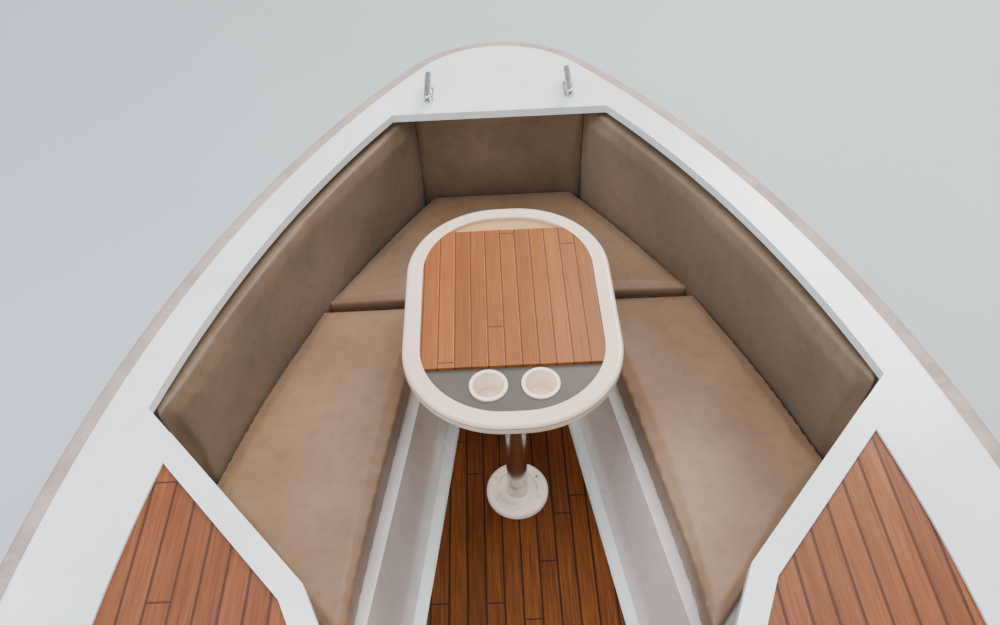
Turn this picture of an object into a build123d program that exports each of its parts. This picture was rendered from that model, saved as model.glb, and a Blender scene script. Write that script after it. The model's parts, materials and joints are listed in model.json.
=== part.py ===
from build123d import *
import os
from math import cos, radians, sin, sqrt, tan

# An open speedboat with a bow lounge, afloat. Millimetres, +Y towards the bow, +X to starboard.
# The origin is on the centreline at the waterline, near the middle of the boat.

# Main heights above the waterline
sheer_height = 865.0
sheer_slope = 1.5
sole_height = 150.0
keel_depth = 430.0

# Plan of the rub strip's outer edge, seen from above
bow_tip_y = 3345.0
bow_radius = 385.0
bow_end_angle = 39.5
half_beam = 1070.0
stern_half = 1040.0
taper_start_y = -800.0
transom_y = -2750.0

# Rub strip, deck moulding and gunwale
strip_width = 50.0
strip_height = 84.0
skirt_thickness = 8.0
skirt_drop = 96.0
deck_thickness = 26.0
gunwale_width = 100.0
deck_edge_round = 10.0
foredeck_length = 442.0
foredeck_aft_y = bow_tip_y - foredeck_length

# Bottom of the hull
deadrise = 20.0
forefoot_back = 1945.0
forefoot_y = bow_tip_y - forefoot_back
forefoot_radius = 2300.0
forefoot_turn = 75.0
strake_width = 46.0
strake_places = (330.0, 620.0)

# Clearances
seat_gap = 0.3
slip_gap = 1.0
soft_gap = 2.0
transom_gap = 5.0

# A height taller than the whole boat, and a length past its stern, for cuts that run out of it
clear_height = 1400.0
past_stern = 100.0

# Bow lounge
seat_base_height = 300.0
cushion_thickness = 100.0
lounge_wall_inset = 105.0
hull_wall = 40.0
pad_thickness = 65.0
foredeck_overhang = 90.0
back_face_y = foredeck_aft_y + foredeck_overhang
base_front_back = 253.0
base_front_y = foredeck_aft_y - base_front_back
forward_seat_depth = 473.0
well_front_y = foredeck_aft_y - forward_seat_depth
well_half_front = 232.0
well_half_aft = 395.0
well_draft = 50.0
well_corner = 120.0
cushion_lip = 14.0
teak_thickness = 12.0
gutter_width = 36.0

# Consoles either side of the passage
passage_half = 300.0
dash_y = 845.0
screen_ahead = 285.0
screen_y = dash_y + screen_ahead
corner_out = 123.0
corner_x = passage_half + corner_out
corner_ahead = 255.0
corner_y = screen_y + corner_ahead
apex_inset = 280.0
apex_x = half_beam - apex_inset
apex_ahead = 390.0
apex_y = corner_y + apex_ahead
panel_corner = 24.0
rim_width = 50.0
rim_height = 14.0
panel_margin = 205.0

# Bow table
table_back = 225.0
table_y = well_front_y - table_back
table_length = 805.0
table_width = 571.0
table_height = 640.0
table_thickness = 36.0
table_rim = 46.0
table_leg_diameter = 62.0
table_leg_back = 205.0
table_foot_y = table_y - table_leg_back
ring_diameter = 190.0
ring_height = 34.0
socket_depth = 26.0

# Cockpit and engine bay
coaming_inset = 190.0
coaming_corner = 160.0
transom_wall = 60.0
bay_length = 730.0
bay_bulkhead = 60.0
bay_aft_y = transom_y + transom_wall
bay_front_y = bay_aft_y + bay_length
cockpit_aft_y = bay_front_y + bay_bulkhead
bay_side = 220.0
bay_half = stern_half - bay_side
bay_corner = 60.0
bay_low_half = 520.0
bay_floor = -190.0

slope = radians(sheer_slope)
deck_plane = Plane(
    origin=(0, 0, sheer_height), x_dir=(1, 0, 0), z_dir=(0, -sin(slope), cos(slope))
)
seat_top = sole_height + seat_base_height
rim_stern_y = transom_y - strip_width - skirt_thickness - transom_gap


def deck_z(y):
    """Height of the deck's top face at a place along the boat."""
    return sheer_height + y * tan(slope)


def outline(tip_y, radius, beam, stern, angle=bow_end_angle, stern_y=transom_y):
    """Draws one level outline: bow arc, long side arc, straight run and quarter, mirrored."""
    bow_x = radius * cos(radians(angle))
    side_radius = (beam - bow_x) / (1 - cos(radians(angle)))
    with BuildLine() as border:
        bow = JernArc(start=(0, tip_y), tangent=(1, 0), radius=radius, arc_size=angle - 90)
        side = JernArc(start=bow @ 1, tangent=bow % 1, radius=side_radius, arc_size=-angle)
        run = Line(side @ 1, (beam, taper_start_y))
        quarter = Line(run @ 1, (stern, stern_y))
        Line(quarter @ 1, (0, stern_y))
        mirror(about=Plane.YZ)
    make_face(border.edges())


def rim_shape(inset):
    """The rub strip's outer edge, moved inboard all round by the inset."""
    with BuildSketch(mode=Mode.PRIVATE) as shape:
        outline(bow_tip_y, bow_radius, half_beam, stern_half, stern_y=rim_stern_y)
        if inset:
            offset(amount=-inset, mode=Mode.REPLACE)
    return shape.sketch


def band(low_y, high_y, mode=Mode.INTERSECT):
    """A strip right across the boat between two places along it."""
    with Locations((0, (low_y + high_y) / 2)):
        Rectangle(4 * half_beam, high_y - low_y, mode=mode)


def save(part, label):
    """Names a finished piece and writes it."""
    part.label = label
    export_step(part, f"parts/{label}.step")


os.makedirs("parts", exist_ok=True)

# Hull: level outlines lofted from under the keel to above the sheer, then the bottom is cut
# to a V with lifting strakes, which turns up about a crosswise axis at the forefoot.
# Columns: height, tip aft of the rub strip's, bow radius, how far inboard of the rub strip
# at the beam and at the transom, bow end angle.
waterlines = (
    (-460.0, 1050.0, 20.0, 270.0, 240.0, 38.0),
    (-200.0, 650.0, 60.0, 180.0, 155.0, 38.0),
    (120.0, 280.0, 200.0, 110.0, 100.0, 39.5),
    (560.0, 92.0, 322.0, 74.0, 78.0, 39.5),
    (1010.0, 70.0, 322.0, 69.0, 70.0, 39.5),
)


def level_outline(row):
    """One row of the table as a level outline of the hull."""
    height, tip_back, radius, beam_inset, stern_inset, angle = row
    outline(bow_tip_y - tip_back, radius, half_beam - beam_inset, stern_half - stern_inset, angle)


lounge_row = waterlines[2]
axis_z = forefoot_radius - keel_depth
bottom_far = 1500.0
bottom_low = -1200.0
# Flat land on the stem for the bow eye, on the plane of its plate
eye_z = 330.0
eye_land_depth = 12.0
eye_plate_width = 56.0
eye_plate_height = 100.0
eye_y = forefoot_y + sqrt(forefoot_radius**2 - (axis_z - eye_z) ** 2)
stem_plane = Plane(
    origin=(0, eye_y, eye_z), x_dir=(1, 0, 0), z_dir=(0, eye_y - forefoot_y, eye_z - axis_z)
)
with BuildPart() as hull:
    for row in waterlines:
        with BuildSketch(Plane.XY.offset(row[0])):
            level_outline(row)
    loft()
    split(bisect_by=deck_plane.offset(-deck_thickness), keep=Keep.BOTTOM)
    # Everything below the V: straight aft of the forefoot, turned up ahead of it
    rise = tan(radians(deadrise))
    with BuildSketch(Plane.XZ.offset(-forefoot_y)) as below_v:
        with BuildLine():
            points = [(0, -keel_depth)]
            for place in strake_places:
                points.append((place, -keel_depth + place * rise))
                points.append((place + strake_width, -keel_depth + place * rise))
            points.append((bottom_far, -keel_depth + bottom_far * rise))
            points.append((bottom_far, bottom_low))
            points.append((0, bottom_low))
            Polyline(*points, close=True)
        make_face()
        mirror(about=Plane.YZ)
    extrude(amount=forefoot_y - transom_y + past_stern, mode=Mode.SUBTRACT)
    with BuildSketch(Plane.XZ.offset(-forefoot_y)):
        add(below_v.sketch_local)
    turn_axis = Axis((0, forefoot_y, axis_z), (1, 0, 0))
    revolve(axis=turn_axis, revolution_arc=forefoot_turn, mode=Mode.SUBTRACT)
    with BuildSketch(stem_plane.offset(-eye_land_depth)):
        Rectangle(2 * eye_plate_width, eye_plate_height + 2 * slip_gap)
    extrude(amount=2 * eye_land_depth, mode=Mode.SUBTRACT)
    # Lower well for the seat bases and the cockpit, and the wider lounge above it
    with BuildSketch(Plane.XY.offset(sole_height)):
        level_outline(lounge_row)
        offset(amount=-hull_wall, mode=Mode.REPLACE)
        band(cockpit_aft_y, base_front_y)
    extrude(amount=seat_base_height, mode=Mode.SUBTRACT)
    with BuildSketch(Plane.XY.offset(seat_top)):
        add(rim_shape(lounge_wall_inset))
        band(cockpit_aft_y, back_face_y + pad_thickness)
    extrude(amount=clear_height, mode=Mode.SUBTRACT)
    # Engine bay, open at the top
    for low_z, half in ((bay_floor, bay_low_half), (sole_height, bay_half)):
        with BuildSketch(Plane.XY.offset(low_z)):
            with Locations((0, (bay_front_y + bay_aft_y) / 2)):
                RectangleRounded(2 * half, bay_length, bay_corner)
        extrude(amount=clear_height, mode=Mode.SUBTRACT)
save(hull.part, "hull")


# Plan shapes that several pieces share, drawn flat
far_x = half_beam
far_y = apex_y + (far_x - apex_x) * (apex_y - corner_y) / (apex_x - corner_x)


def ahead_of_consoles(gap, front_y, mode=Mode.INTERSECT):
    """Everything ahead of the consoles' slanting fronts, up to a place near the bow."""
    with BuildLine() as border:
        Polyline(
            (corner_x, corner_y + gap),
            (far_x, far_y + gap),
            (far_x, front_y),
            (-far_x, front_y),
            (-far_x, far_y + gap),
            (-corner_x, corner_y + gap),
            close=True,
        )
    make_face(border.edges(), mode=mode)


def trapezium(aft_y, aft_half, front_y, front_half, corner, mode=Mode.ADD):
    """A level shape that narrows forward, with rounded front corners."""
    with BuildLine() as border:
        Polyline(
            (aft_half, aft_y),
            (front_half, front_y),
            (-front_half, front_y),
            (-aft_half, aft_y),
            close=True,
        )
        fillet(border.vertices().group_by(Axis.Y)[-1], corner)
    make_face(border.edges(), mode=mode)


def cut_under_deck(gap):
    """Trims a piece to the underside of the deck moulding."""
    split(bisect_by=deck_plane.offset(-deck_thickness - gap), keep=Keep.BOTTOM)


# Footwell between the bow seats: narrower at the floor than at the seats
well_aft_y = corner_y + 26.0
well_floor_half_aft = 337.0
well_floor_half_front = 200.0
well_past = 120.0


def well_top(spread, mode=Mode.ADD):
    """The footwell's mouth, with its aft end run past the consoles."""
    run = (well_half_aft - well_half_front) / (well_front_y - well_aft_y)
    trapezium(
        well_aft_y - well_past,
        well_half_aft + run * well_past + spread,
        well_front_y + spread,
        well_half_front + spread,
        well_corner + spread,
        mode,
    )


def well_floor(spread, past=well_past, mode=Mode.ADD):
    """The footwell's floor outline, with its aft end run past the consoles."""
    run = (well_floor_half_aft - well_floor_half_front) / (well_front_y - well_aft_y)
    trapezium(
        well_aft_y - past,
        well_floor_half_aft + run * past + spread,
        well_front_y - well_draft + spread,
        well_floor_half_front + spread,
        well_corner + spread,
        mode,
    )


with BuildPart() as bow_seat_base:
    with BuildSketch(Plane.XY.offset(sole_height)):
        level_outline(lounge_row)
        offset(amount=-hull_wall - slip_gap, mode=Mode.REPLACE)
        ahead_of_consoles(seat_gap, base_front_y - slip_gap)
    extrude(amount=seat_base_height)
    with BuildSketch(Plane.XY.offset(sole_height)):
        well_floor(0)
    with BuildSketch(Plane.XY.offset(seat_top)):
        well_top(0)
    loft(mode=Mode.SUBTRACT)
save(bow_seat_base.part, "bow_seat_base")

# Teak floors, each a panel with a bare gutter round it
bow_teak_ahead = 85.0
bow_teak_aft_y = screen_y + bow_teak_ahead
teak_seam = 6.0
bench_depth = 580.0
bench_front_y = cockpit_aft_y + bench_depth
cockpit_teak_gap = 80.0
cockpit_teak_corner = 60.0
cockpit_teak_aft_y = bench_front_y + cockpit_teak_gap
cockpit_teak_inset = 370.0
cockpit_teak_half = half_beam - cockpit_teak_inset
passage_teak_inset = 40.0
passage_teak_half = passage_half - passage_teak_inset
with BuildPart() as bow_floor_teak:
    with BuildSketch(Plane.XY.offset(sole_height)):
        well_floor(-gutter_width, well_aft_y - bow_teak_aft_y)
        with Locations((0, table_foot_y)):
            Circle(ring_diameter / 2 + slip_gap, mode=Mode.SUBTRACT)
    extrude(amount=teak_thickness)
save(bow_floor_teak.part, "bow_floor_teak")

with BuildPart() as cockpit_floor_teak:
    with BuildSketch(Plane.XY.offset(sole_height)):
        with Locations((0, (bow_teak_aft_y - teak_seam + dash_y) / 2)):
            Rectangle(2 * passage_teak_half, bow_teak_aft_y - teak_seam - dash_y)
        with Locations((0, (dash_y + cockpit_teak_aft_y) / 2)):
            RectangleRounded(
                2 * cockpit_teak_half, dash_y - cockpit_teak_aft_y, cockpit_teak_corner
            )
    extrude(amount=teak_thickness)
save(cockpit_floor_teak.part, "cockpit_floor_teak")

# Bow cushions: one across the front and one down each side
split_ahead = 8.0
front_split_y = well_front_y + cushion_lip + split_ahead
cushion_gap = 3.0
split_x = 80.0
backrest_inset = lounge_wall_inset + pad_thickness


def seat_plan(low_y, high_y):
    """The seat's plan between two places along the boat, inside the backrests."""
    add(rim_shape(backrest_inset + soft_gap))
    ahead_of_consoles(soft_gap, back_face_y - soft_gap)
    band(low_y, high_y)


with BuildPart() as bow_cushion_forward:
    with BuildSketch(Plane.XY.offset(seat_top + seat_gap)):
        seat_plan(front_split_y, back_face_y)
    extrude(amount=cushion_thickness)
save(bow_cushion_forward.part, "bow_cushion_forward")

with BuildPart() as bow_cushion_starboard:
    with BuildSketch(Plane.XY.offset(seat_top + seat_gap)):
        seat_plan(corner_y, front_split_y - cushion_gap)
        well_top(cushion_lip, mode=Mode.SUBTRACT)
        with Locations((split_x - half_beam, apex_y)):
            Rectangle(2 * half_beam, 2 * bow_tip_y, mode=Mode.SUBTRACT)
    extrude(amount=cushion_thickness)
save(bow_cushion_starboard.part, "bow_cushion_starboard")
save(mirror(bow_cushion_starboard.part, about=Plane.YZ), "bow_cushion_port")

# Backrest pads against the lounge wall, under the gunwale
with BuildPart() as backrest_forward:
    with BuildSketch(Plane.XY.offset(seat_top + seat_gap)):
        add(rim_shape(lounge_wall_inset + soft_gap))
        band(back_face_y, back_face_y + pad_thickness - soft_gap)
    extrude(amount=clear_height)
    cut_under_deck(soft_gap)
save(backrest_forward.part, "backrest_forward")

with BuildPart() as backrest_starboard:
    with BuildSketch(Plane.XY.offset(seat_top + seat_gap)):
        add(rim_shape(lounge_wall_inset + soft_gap))
        ahead_of_consoles(soft_gap, back_face_y - soft_gap)
        add(rim_shape(backrest_inset), mode=Mode.SUBTRACT)
        with Locations((-half_beam, apex_y)):
            Rectangle(2 * half_beam, 2 * bow_tip_y, mode=Mode.SUBTRACT)
    extrude(amount=clear_height)
    cut_under_deck(soft_gap)
save(backrest_starboard.part, "backrest_starboard")
save(mirror(backrest_starboard.part, about=Plane.YZ), "backrest_port")

# Deck moulding: gunwale, foredeck, console tops and side decks in one, with a skirt outside
# the hull and raised rims round the console panels
bay_ledge = 180.0
bay_open_half = bay_half - bay_ledge
bay_lip_front = 40.0
bay_lip_aft = 50.0
bay_open_front_y = bay_front_y - bay_lip_front
bay_open_aft_y = bay_aft_y + bay_lip_aft
bay_mouth_corner = 50.0
cockpit_shelf = 20.0
cockpit_open_aft_y = cockpit_aft_y + cockpit_shelf
rim_ahead = 55.0
rim_aft_y = screen_y + rim_ahead


def lounge_mouth():
    """The opening over the bow lounge and the passage, inside the gunwale."""
    add(rim_shape(strip_width + gunwale_width))
    with BuildLine() as border:
        Polyline(
            (corner_x, corner_y),
            (far_x, far_y),
            (far_x, foredeck_aft_y),
            (-far_x, foredeck_aft_y),
            (-far_x, far_y),
            (-corner_x, corner_y),
            (-passage_half, screen_y),
            (passage_half, screen_y),
            close=True,
        )
    make_face(border.edges(), mode=Mode.INTERSECT)


def console_panel():
    """The starboard console's top inside the edges of the deck, where the rim stands."""
    add(rim_shape(panel_margin))
    run = (corner_x - passage_half) / (corner_y - screen_y)
    with BuildLine() as border:
        Polyline(
            (corner_x, corner_y),
            (far_x, far_y),
            (far_x, rim_aft_y),
            (passage_half + run * (rim_aft_y - screen_y), rim_aft_y),
            close=True,
        )
    make_face(border.edges(), mode=Mode.INTERSECT)


with BuildSketch() as mouth:
    lounge_mouth()
with BuildSketch() as cockpit_mouth:
    add(rim_shape(coaming_inset))
    band(cockpit_open_aft_y, dash_y)
    fillet(cockpit_mouth.vertices().group_by(Axis.Y)[0], coaming_corner)
with BuildSketch() as panel_plan:
    console_panel()
    fillet(panel_plan.vertices(), panel_corner)

with BuildPart() as deck:
    with BuildSketch(deck_plane.offset(-deck_thickness)):
        add(rim_shape(strip_width))
        add(mouth.sketch, mode=Mode.SUBTRACT)
        add(cockpit_mouth.sketch, mode=Mode.SUBTRACT)
        with Locations((0, (screen_y + dash_y) / 2)):
            Rectangle(2 * passage_half, screen_y - dash_y + 2 * slip_gap, mode=Mode.SUBTRACT)
        with Locations((0, (bay_open_front_y + bay_open_aft_y) / 2)):
            RectangleRounded(
                2 * bay_open_half,
                bay_open_front_y - bay_open_aft_y,
                bay_mouth_corner,
                mode=Mode.SUBTRACT,
            )
    extrude(amount=deck_thickness)
    top_face = deck.faces().sort_by(Axis.Z)[-1]
    fillet(top_face.outer_wire().edges(), deck_edge_round)
    with BuildSketch(deck_plane.offset(-skirt_drop)):
        add(rim_shape(strip_width))
        add(rim_shape(strip_width + skirt_thickness), mode=Mode.SUBTRACT)
    extrude(amount=skirt_drop - deck_thickness)
    with BuildSketch(deck_plane):
        add(panel_plan.sketch)
        offset(panel_plan.sketch, amount=-rim_width, mode=Mode.SUBTRACT)
        mirror(about=Plane.YZ)
    extrude(amount=rim_height)
save(deck.part, "deck")

panel_thickness = 8.0
with BuildPart() as console_panel_starboard:
    with BuildSketch(deck_plane):
        offset(panel_plan.sketch, amount=-rim_width - seat_gap)
    extrude(amount=panel_thickness)
save(console_panel_starboard.part, "console_panel_starboard")
save(mirror(console_panel_starboard.part, about=Plane.YZ), "console_panel_port")

# Rub strip: a soft D section round the skirt
strip_low = 6.0
strip_round = 30.0
with BuildPart() as rub_strip:
    with BuildSketch(deck_plane.offset(-strip_low - strip_height)):
        add(rim_shape(0))
        add(rim_shape(strip_width - seat_gap), mode=Mode.SUBTRACT)
    extrude(amount=strip_height)
    strip_faces = rub_strip.faces().sort_by(Axis.Z)
    fillet(strip_faces[-1].outer_wire().edges() + strip_faces[0].outer_wire().edges(), strip_round)
save(rub_strip.part, "rub_strip")

# Consoles: solid mouldings under the deck, with room for knees on their aft side
console_recess = 70.0
console_aft_y = dash_y + console_recess
console_inset = 12.0
knee_depth = 230.0
knee_low = 120.0
knee_high = 560.0
knee_corner = 50.0
knee_wall = 60.0
knee_inset = 230.0
knee_inner = passage_half + knee_wall
knee_outer = half_beam - knee_inset


def console_plan(wall_inset_sketch):
    """The starboard console's plan inside the given outline."""
    add(wall_inset_sketch.sketch)
    with BuildLine() as border:
        Polyline(
            (corner_x + console_inset, corner_y - seat_gap),
            (far_x, far_y - seat_gap - console_inset),
            (far_x, console_aft_y),
            (passage_half + console_inset, console_aft_y),
            (passage_half + console_inset, screen_y),
            close=True,
        )
    make_face(border.edges(), mode=Mode.INTERSECT)


with BuildSketch() as low_wall:
    level_outline(lounge_row)
    offset(amount=-hull_wall - slip_gap, mode=Mode.REPLACE)
with BuildSketch() as high_wall:
    add(rim_shape(lounge_wall_inset + slip_gap))

with BuildPart() as console_starboard:
    with BuildSketch(Plane.XY.offset(sole_height)):
        console_plan(low_wall)
    extrude(amount=seat_base_height)
    with BuildSketch(Plane.XY.offset(seat_top)):
        console_plan(high_wall)
    extrude(amount=clear_height)
    cut_under_deck(0)
    with BuildSketch(Plane.XZ.offset(-console_aft_y)):
        with Locations(((knee_inner + knee_outer) / 2, sole_height + (knee_low + knee_high) / 2)):
            RectangleRounded(knee_outer - knee_inner, knee_high - knee_low, knee_corner)
    extrude(amount=-knee_depth, mode=Mode.SUBTRACT)
save(console_starboard.part, "console_starboard")
save(mirror(console_starboard.part, about=Plane.YZ), "console_port")

# Cockpit liners down each side under the side decks, each with an open stowage pocket
liner_inset = 172.0
liner_thickness = 14.0
pocket_length = 650.0
pocket_height = 190.0
pocket_middle_y = -675.0
pocket_middle_z = 580.0
pocket_corner = 60.0
with BuildPart() as cockpit_liner_starboard:
    with BuildSketch(Plane.XY.offset(sole_height)):
        add(rim_shape(liner_inset))
        add(rim_shape(liner_inset + liner_thickness), mode=Mode.SUBTRACT)
        band(cockpit_aft_y + slip_gap, console_aft_y - slip_gap)
        with Locations((-half_beam, 0)):
            Rectangle(2 * half_beam, 2 * bow_tip_y, mode=Mode.SUBTRACT)
    extrude(amount=clear_height)
    cut_under_deck(seat_gap)
    with BuildSketch(Plane.YZ):
        with Locations((pocket_middle_y, pocket_middle_z)):
            RectangleRounded(pocket_length, pocket_height, pocket_corner)
    extrude(amount=half_beam, mode=Mode.SUBTRACT)
save(cockpit_liner_starboard.part, "cockpit_liner_starboard")
save(mirror(cockpit_liner_starboard.part, about=Plane.YZ), "cockpit_liner_port")

# Bow table on a pedestal that lifts out of its ring
table_bottom = sole_height + table_height - table_thickness
table_top_z = sole_height + table_height
table_corner = 262.0
table_teak_back = 214.0
table_teak_ahead = 300.0
table_edge_round = 12.0
table_recess = 10.0
tray_z = table_top_z - table_recess
cup_diameter = 84.0
cup_wall = 2.5
cup_depth = 66.0
cup_flange = 6.0
cup_rise = 5.0
cup_spacing = 130.0
cup_back = 270.0
cup_places = ((-cup_spacing / 2, table_y - cup_back), (cup_spacing / 2, table_y - cup_back))


def table_inside(spread):
    """The sunk field of the table inside its rim."""
    with Locations((0, table_y)):
        RectangleRounded(
            table_width - 2 * table_rim + 2 * spread,
            table_length - 2 * table_rim + 2 * spread,
            table_corner - table_rim,
        )


with BuildPart() as table_top:
    with BuildSketch(Plane.XY.offset(table_bottom)):
        with Locations((0, table_y)):
            RectangleRounded(table_width, table_length, table_corner)
    extrude(amount=table_thickness)
    rim_faces = table_top.faces().sort_by(Axis.Z)
    fillet(rim_faces[-1].edges() + rim_faces[0].edges(), table_edge_round)
    with BuildSketch(Plane.XY.offset(tray_z)):
        table_inside(0)
    extrude(amount=table_recess, mode=Mode.SUBTRACT)
    with BuildSketch(Plane.XY.offset(table_bottom)):
        with Locations(*cup_places):
            Circle(cup_diameter / 2 + seat_gap)
    extrude(amount=table_thickness, mode=Mode.SUBTRACT)
save(table_top.part, "table_top")

with BuildPart() as table_teak:
    with BuildSketch(Plane.XY.offset(tray_z)):
        table_inside(-seat_gap)
        band(table_y - table_teak_back, table_y + table_teak_ahead)
    extrude(amount=table_recess)
save(table_teak.part, "table_teak")

with BuildPart() as table_cups:
    with BuildSketch(Plane.XY.offset(tray_z - cup_depth)):
        with Locations(*cup_places):
            Circle(cup_diameter / 2)
    extrude(amount=cup_depth + seat_gap)
    with BuildSketch(Plane.XY.offset(tray_z + seat_gap)):
        with Locations(*cup_places):
            Circle(cup_diameter / 2 + cup_flange)
    extrude(amount=cup_rise)
    with BuildSketch(Plane.XY.offset(tray_z - cup_depth + cup_wall)):
        with Locations(*cup_places):
            Circle(cup_diameter / 2 - cup_wall)
    extrude(amount=cup_depth + cup_rise + seat_gap, mode=Mode.SUBTRACT)
save(table_cups.part, "table_cups")

leg_bottom = sole_height + ring_height - socket_depth
leg_plate_length = 180.0
leg_plate_width = 80.0
leg_plate_back = 15.0
leg_plate_thickness = 10.0
leg_plate_corner = 12.0
with BuildPart() as table_leg:
    with BuildSketch(Plane.XY.offset(leg_bottom)):
        with Locations((0, table_foot_y)):
            Circle(table_leg_diameter / 2)
    extrude(amount=table_bottom - leg_bottom)
    with BuildSketch(Plane.XY.offset(table_bottom - leg_plate_thickness)):
        with Locations((0, table_foot_y - leg_plate_back + leg_plate_length / 2)):
            RectangleRounded(leg_plate_width, leg_plate_length, leg_plate_corner)
    extrude(amount=leg_plate_thickness)
save(table_leg.part, "table_leg")

ring_dish = 124.0
ring_dish_depth = 8.0
ring_round = 14.0
with BuildPart() as table_ring:
    with BuildSketch(Plane.XY.offset(sole_height)):
        with Locations((0, table_foot_y)):
            Circle(ring_diameter / 2)
    extrude(amount=ring_height)
    fillet(table_ring.faces().sort_by(Axis.Z)[-1].edges(), ring_round)
    with BuildSketch(Plane.XY.offset(leg_bottom)):
        with Locations((0, table_foot_y)):
            Circle(table_leg_diameter / 2 + seat_gap)
    extrude(amount=ring_height, mode=Mode.SUBTRACT)
    with BuildSketch(Plane.XY.offset(sole_height + ring_height - ring_dish_depth)):
        with Locations((0, table_foot_y)):
            Circle(ring_dish / 2)
    extrude(amount=ring_dish_depth, mode=Mode.SUBTRACT)
save(table_ring.part, "table_ring")

# Windscreen: a raked pane each side of a centre gate, and a wing pane along each side deck
screen_rake = 42.0
screen_length = 440.0
screen_inset = 190.0
screen_half = half_beam - screen_inset
frame_width = 26.0
frame_depth = 22.0
glass_thickness = 6.0
wing_length = 750.0
wing_aft_y = screen_y - wing_length
wing_aft_rise = 110.0
gate_gap = 6.0
pane_corner = 14.0
wing_set_back = 8.0
foot_height = 16.0
foot_sink = 60.0
foot_overlap = 8.0
rake = radians(screen_rake)
screen_z = deck_z(screen_y) + foot_height
screen_plane = Plane(
    origin=(0, screen_y, screen_z), x_dir=(1, 0, 0), z_dir=(0, -cos(rake), -sin(rake))
)


def pane_plan(low_x, high_x, inset=0.0):
    """A raked pane's outline in its own plane, with the inset taken off all round."""
    with Locations(((low_x + high_x) / 2, screen_length / 2)):
        RectangleRounded(high_x - low_x - 2 * inset, screen_length - 2 * inset, pane_corner)


wing_front_y = screen_y - wing_set_back
wing_plane = Plane(origin=(screen_half, 0, 0), x_dir=(0, 1, 0), z_dir=(1, 0, 0))


def wing_shape(inset=0.0):
    """A wing pane seen from the side: raked front edge, level foot and sloping top."""
    with BuildSketch(mode=Mode.PRIVATE) as shape:
        with BuildLine():
            Polyline(
                (wing_front_y, screen_z),
                (
                    wing_front_y - screen_length * sin(rake),
                    screen_z + screen_length * cos(rake),
                ),
                (wing_aft_y, screen_z + wing_aft_rise),
                (wing_aft_y, screen_z),
                close=True,
            )
        make_face()
        if inset:
            offset(amount=-inset, mode=Mode.REPLACE)
    return shape.sketch


pane_low = passage_half + gate_gap
with BuildPart() as windscreen_frame_starboard:
    with BuildSketch(screen_plane.offset(-frame_depth / 2)):
        pane_plan(pane_low, screen_half)
        with BuildSketch(mode=Mode.PRIVATE) as pane_hole:
            pane_plan(pane_low, screen_half, frame_width)
        add(pane_hole.sketch, mode=Mode.SUBTRACT)
    extrude(amount=frame_depth)
    with BuildSketch(wing_plane.offset(-frame_depth)):
        add(wing_shape())
        add(wing_shape(frame_width), mode=Mode.SUBTRACT)
    extrude(amount=frame_depth)
    # Foot rails down to the deck
    with BuildSketch(Plane.XY.offset(deck_z(screen_y) - foot_sink)):
        with Locations(((pane_low + screen_half) / 2, screen_y)):
            Rectangle(screen_half - pane_low, frame_depth)
        with Locations((screen_half - frame_depth / 2, (screen_y + wing_aft_y) / 2)):
            Rectangle(frame_depth, screen_y - wing_aft_y)
    extrude(amount=foot_sink + foot_height + foot_overlap)
    split(bisect_by=deck_plane, keep=Keep.TOP)
save(windscreen_frame_starboard.part, "windscreen_frame_starboard")

# The gate hangs on knuckles that stand ahead of the port pane's frame
knuckle_radius = 8.0
knuckle_length = 36.0
knuckle_gap = 0.5
knuckle_leaf = 15.0
hinge_pin_radius = 4.0
pin_play = 0.08
hinge_heights = (70.0, 350.0)
hinge_x = -(passage_half + gate_gap / 2)
hinge_stand = frame_depth / 2 + knuckle_radius + knuckle_gap


def gate_knuckle(low, side, bore):
    """A knuckle on the raked hinge line with its leaf towards one side, from a height up."""
    with BuildPart(mode=Mode.PRIVATE) as knuckle:
        slanted = Plane(
            origin=screen_plane.from_local_coords((hinge_x, low, -hinge_stand)),
            x_dir=(1, 0, 0),
            z_dir=screen_plane.y_dir,
        )
        with BuildSketch(slanted):
            Circle(knuckle_radius)
            with Locations((side * knuckle_leaf / 2, knuckle_gap / 2)):
                Rectangle(knuckle_leaf, 2 * knuckle_radius + knuckle_gap)
            if bore:
                Circle(hinge_pin_radius + pin_play, mode=Mode.SUBTRACT)
        extrude(amount=knuckle_length)
        if not bore:
            with BuildSketch(slanted):
                Circle(hinge_pin_radius)
            extrude(amount=2 * knuckle_length)
    return knuckle.part


with BuildPart() as windscreen_frame_port:
    add(mirror(windscreen_frame_starboard.part, about=Plane.YZ))
    for hinge_low in hinge_heights:
        add(gate_knuckle(hinge_low, -1, False))
save(windscreen_frame_port.part, "windscreen_frame_port")

with BuildPart() as windscreen_glass_starboard:
    with BuildSketch(screen_plane.offset(-glass_thickness / 2)):
        pane_plan(pane_low, screen_half, frame_width + seat_gap)
    extrude(amount=glass_thickness)
    with BuildSketch(wing_plane.offset(-(frame_depth + glass_thickness) / 2)):
        add(wing_shape(frame_width + seat_gap))
    extrude(amount=glass_thickness)
save(windscreen_glass_starboard.part, "windscreen_glass_starboard")
save(mirror(windscreen_glass_starboard.part, about=Plane.YZ), "windscreen_glass_port")

with BuildPart() as gate_frame:
    with BuildSketch(screen_plane.offset(-frame_depth / 2)):
        pane_plan(-passage_half, passage_half)
        with BuildSketch(mode=Mode.PRIVATE) as gate_hole:
            pane_plan(-passage_half, passage_half, frame_width)
        add(gate_hole.sketch, mode=Mode.SUBTRACT)
    extrude(amount=frame_depth)
    for hinge_low in hinge_heights:
        add(gate_knuckle(hinge_low + knuckle_length + knuckle_gap, 1, True))
save(gate_frame.part, "gate_frame")

with BuildPart() as gate_glass:
    with BuildSketch(screen_plane.offset(-glass_thickness / 2)):
        pane_plan(-passage_half, passage_half, frame_width + seat_gap)
    extrude(amount=glass_thickness)
save(gate_glass.part, "gate_glass")

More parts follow.
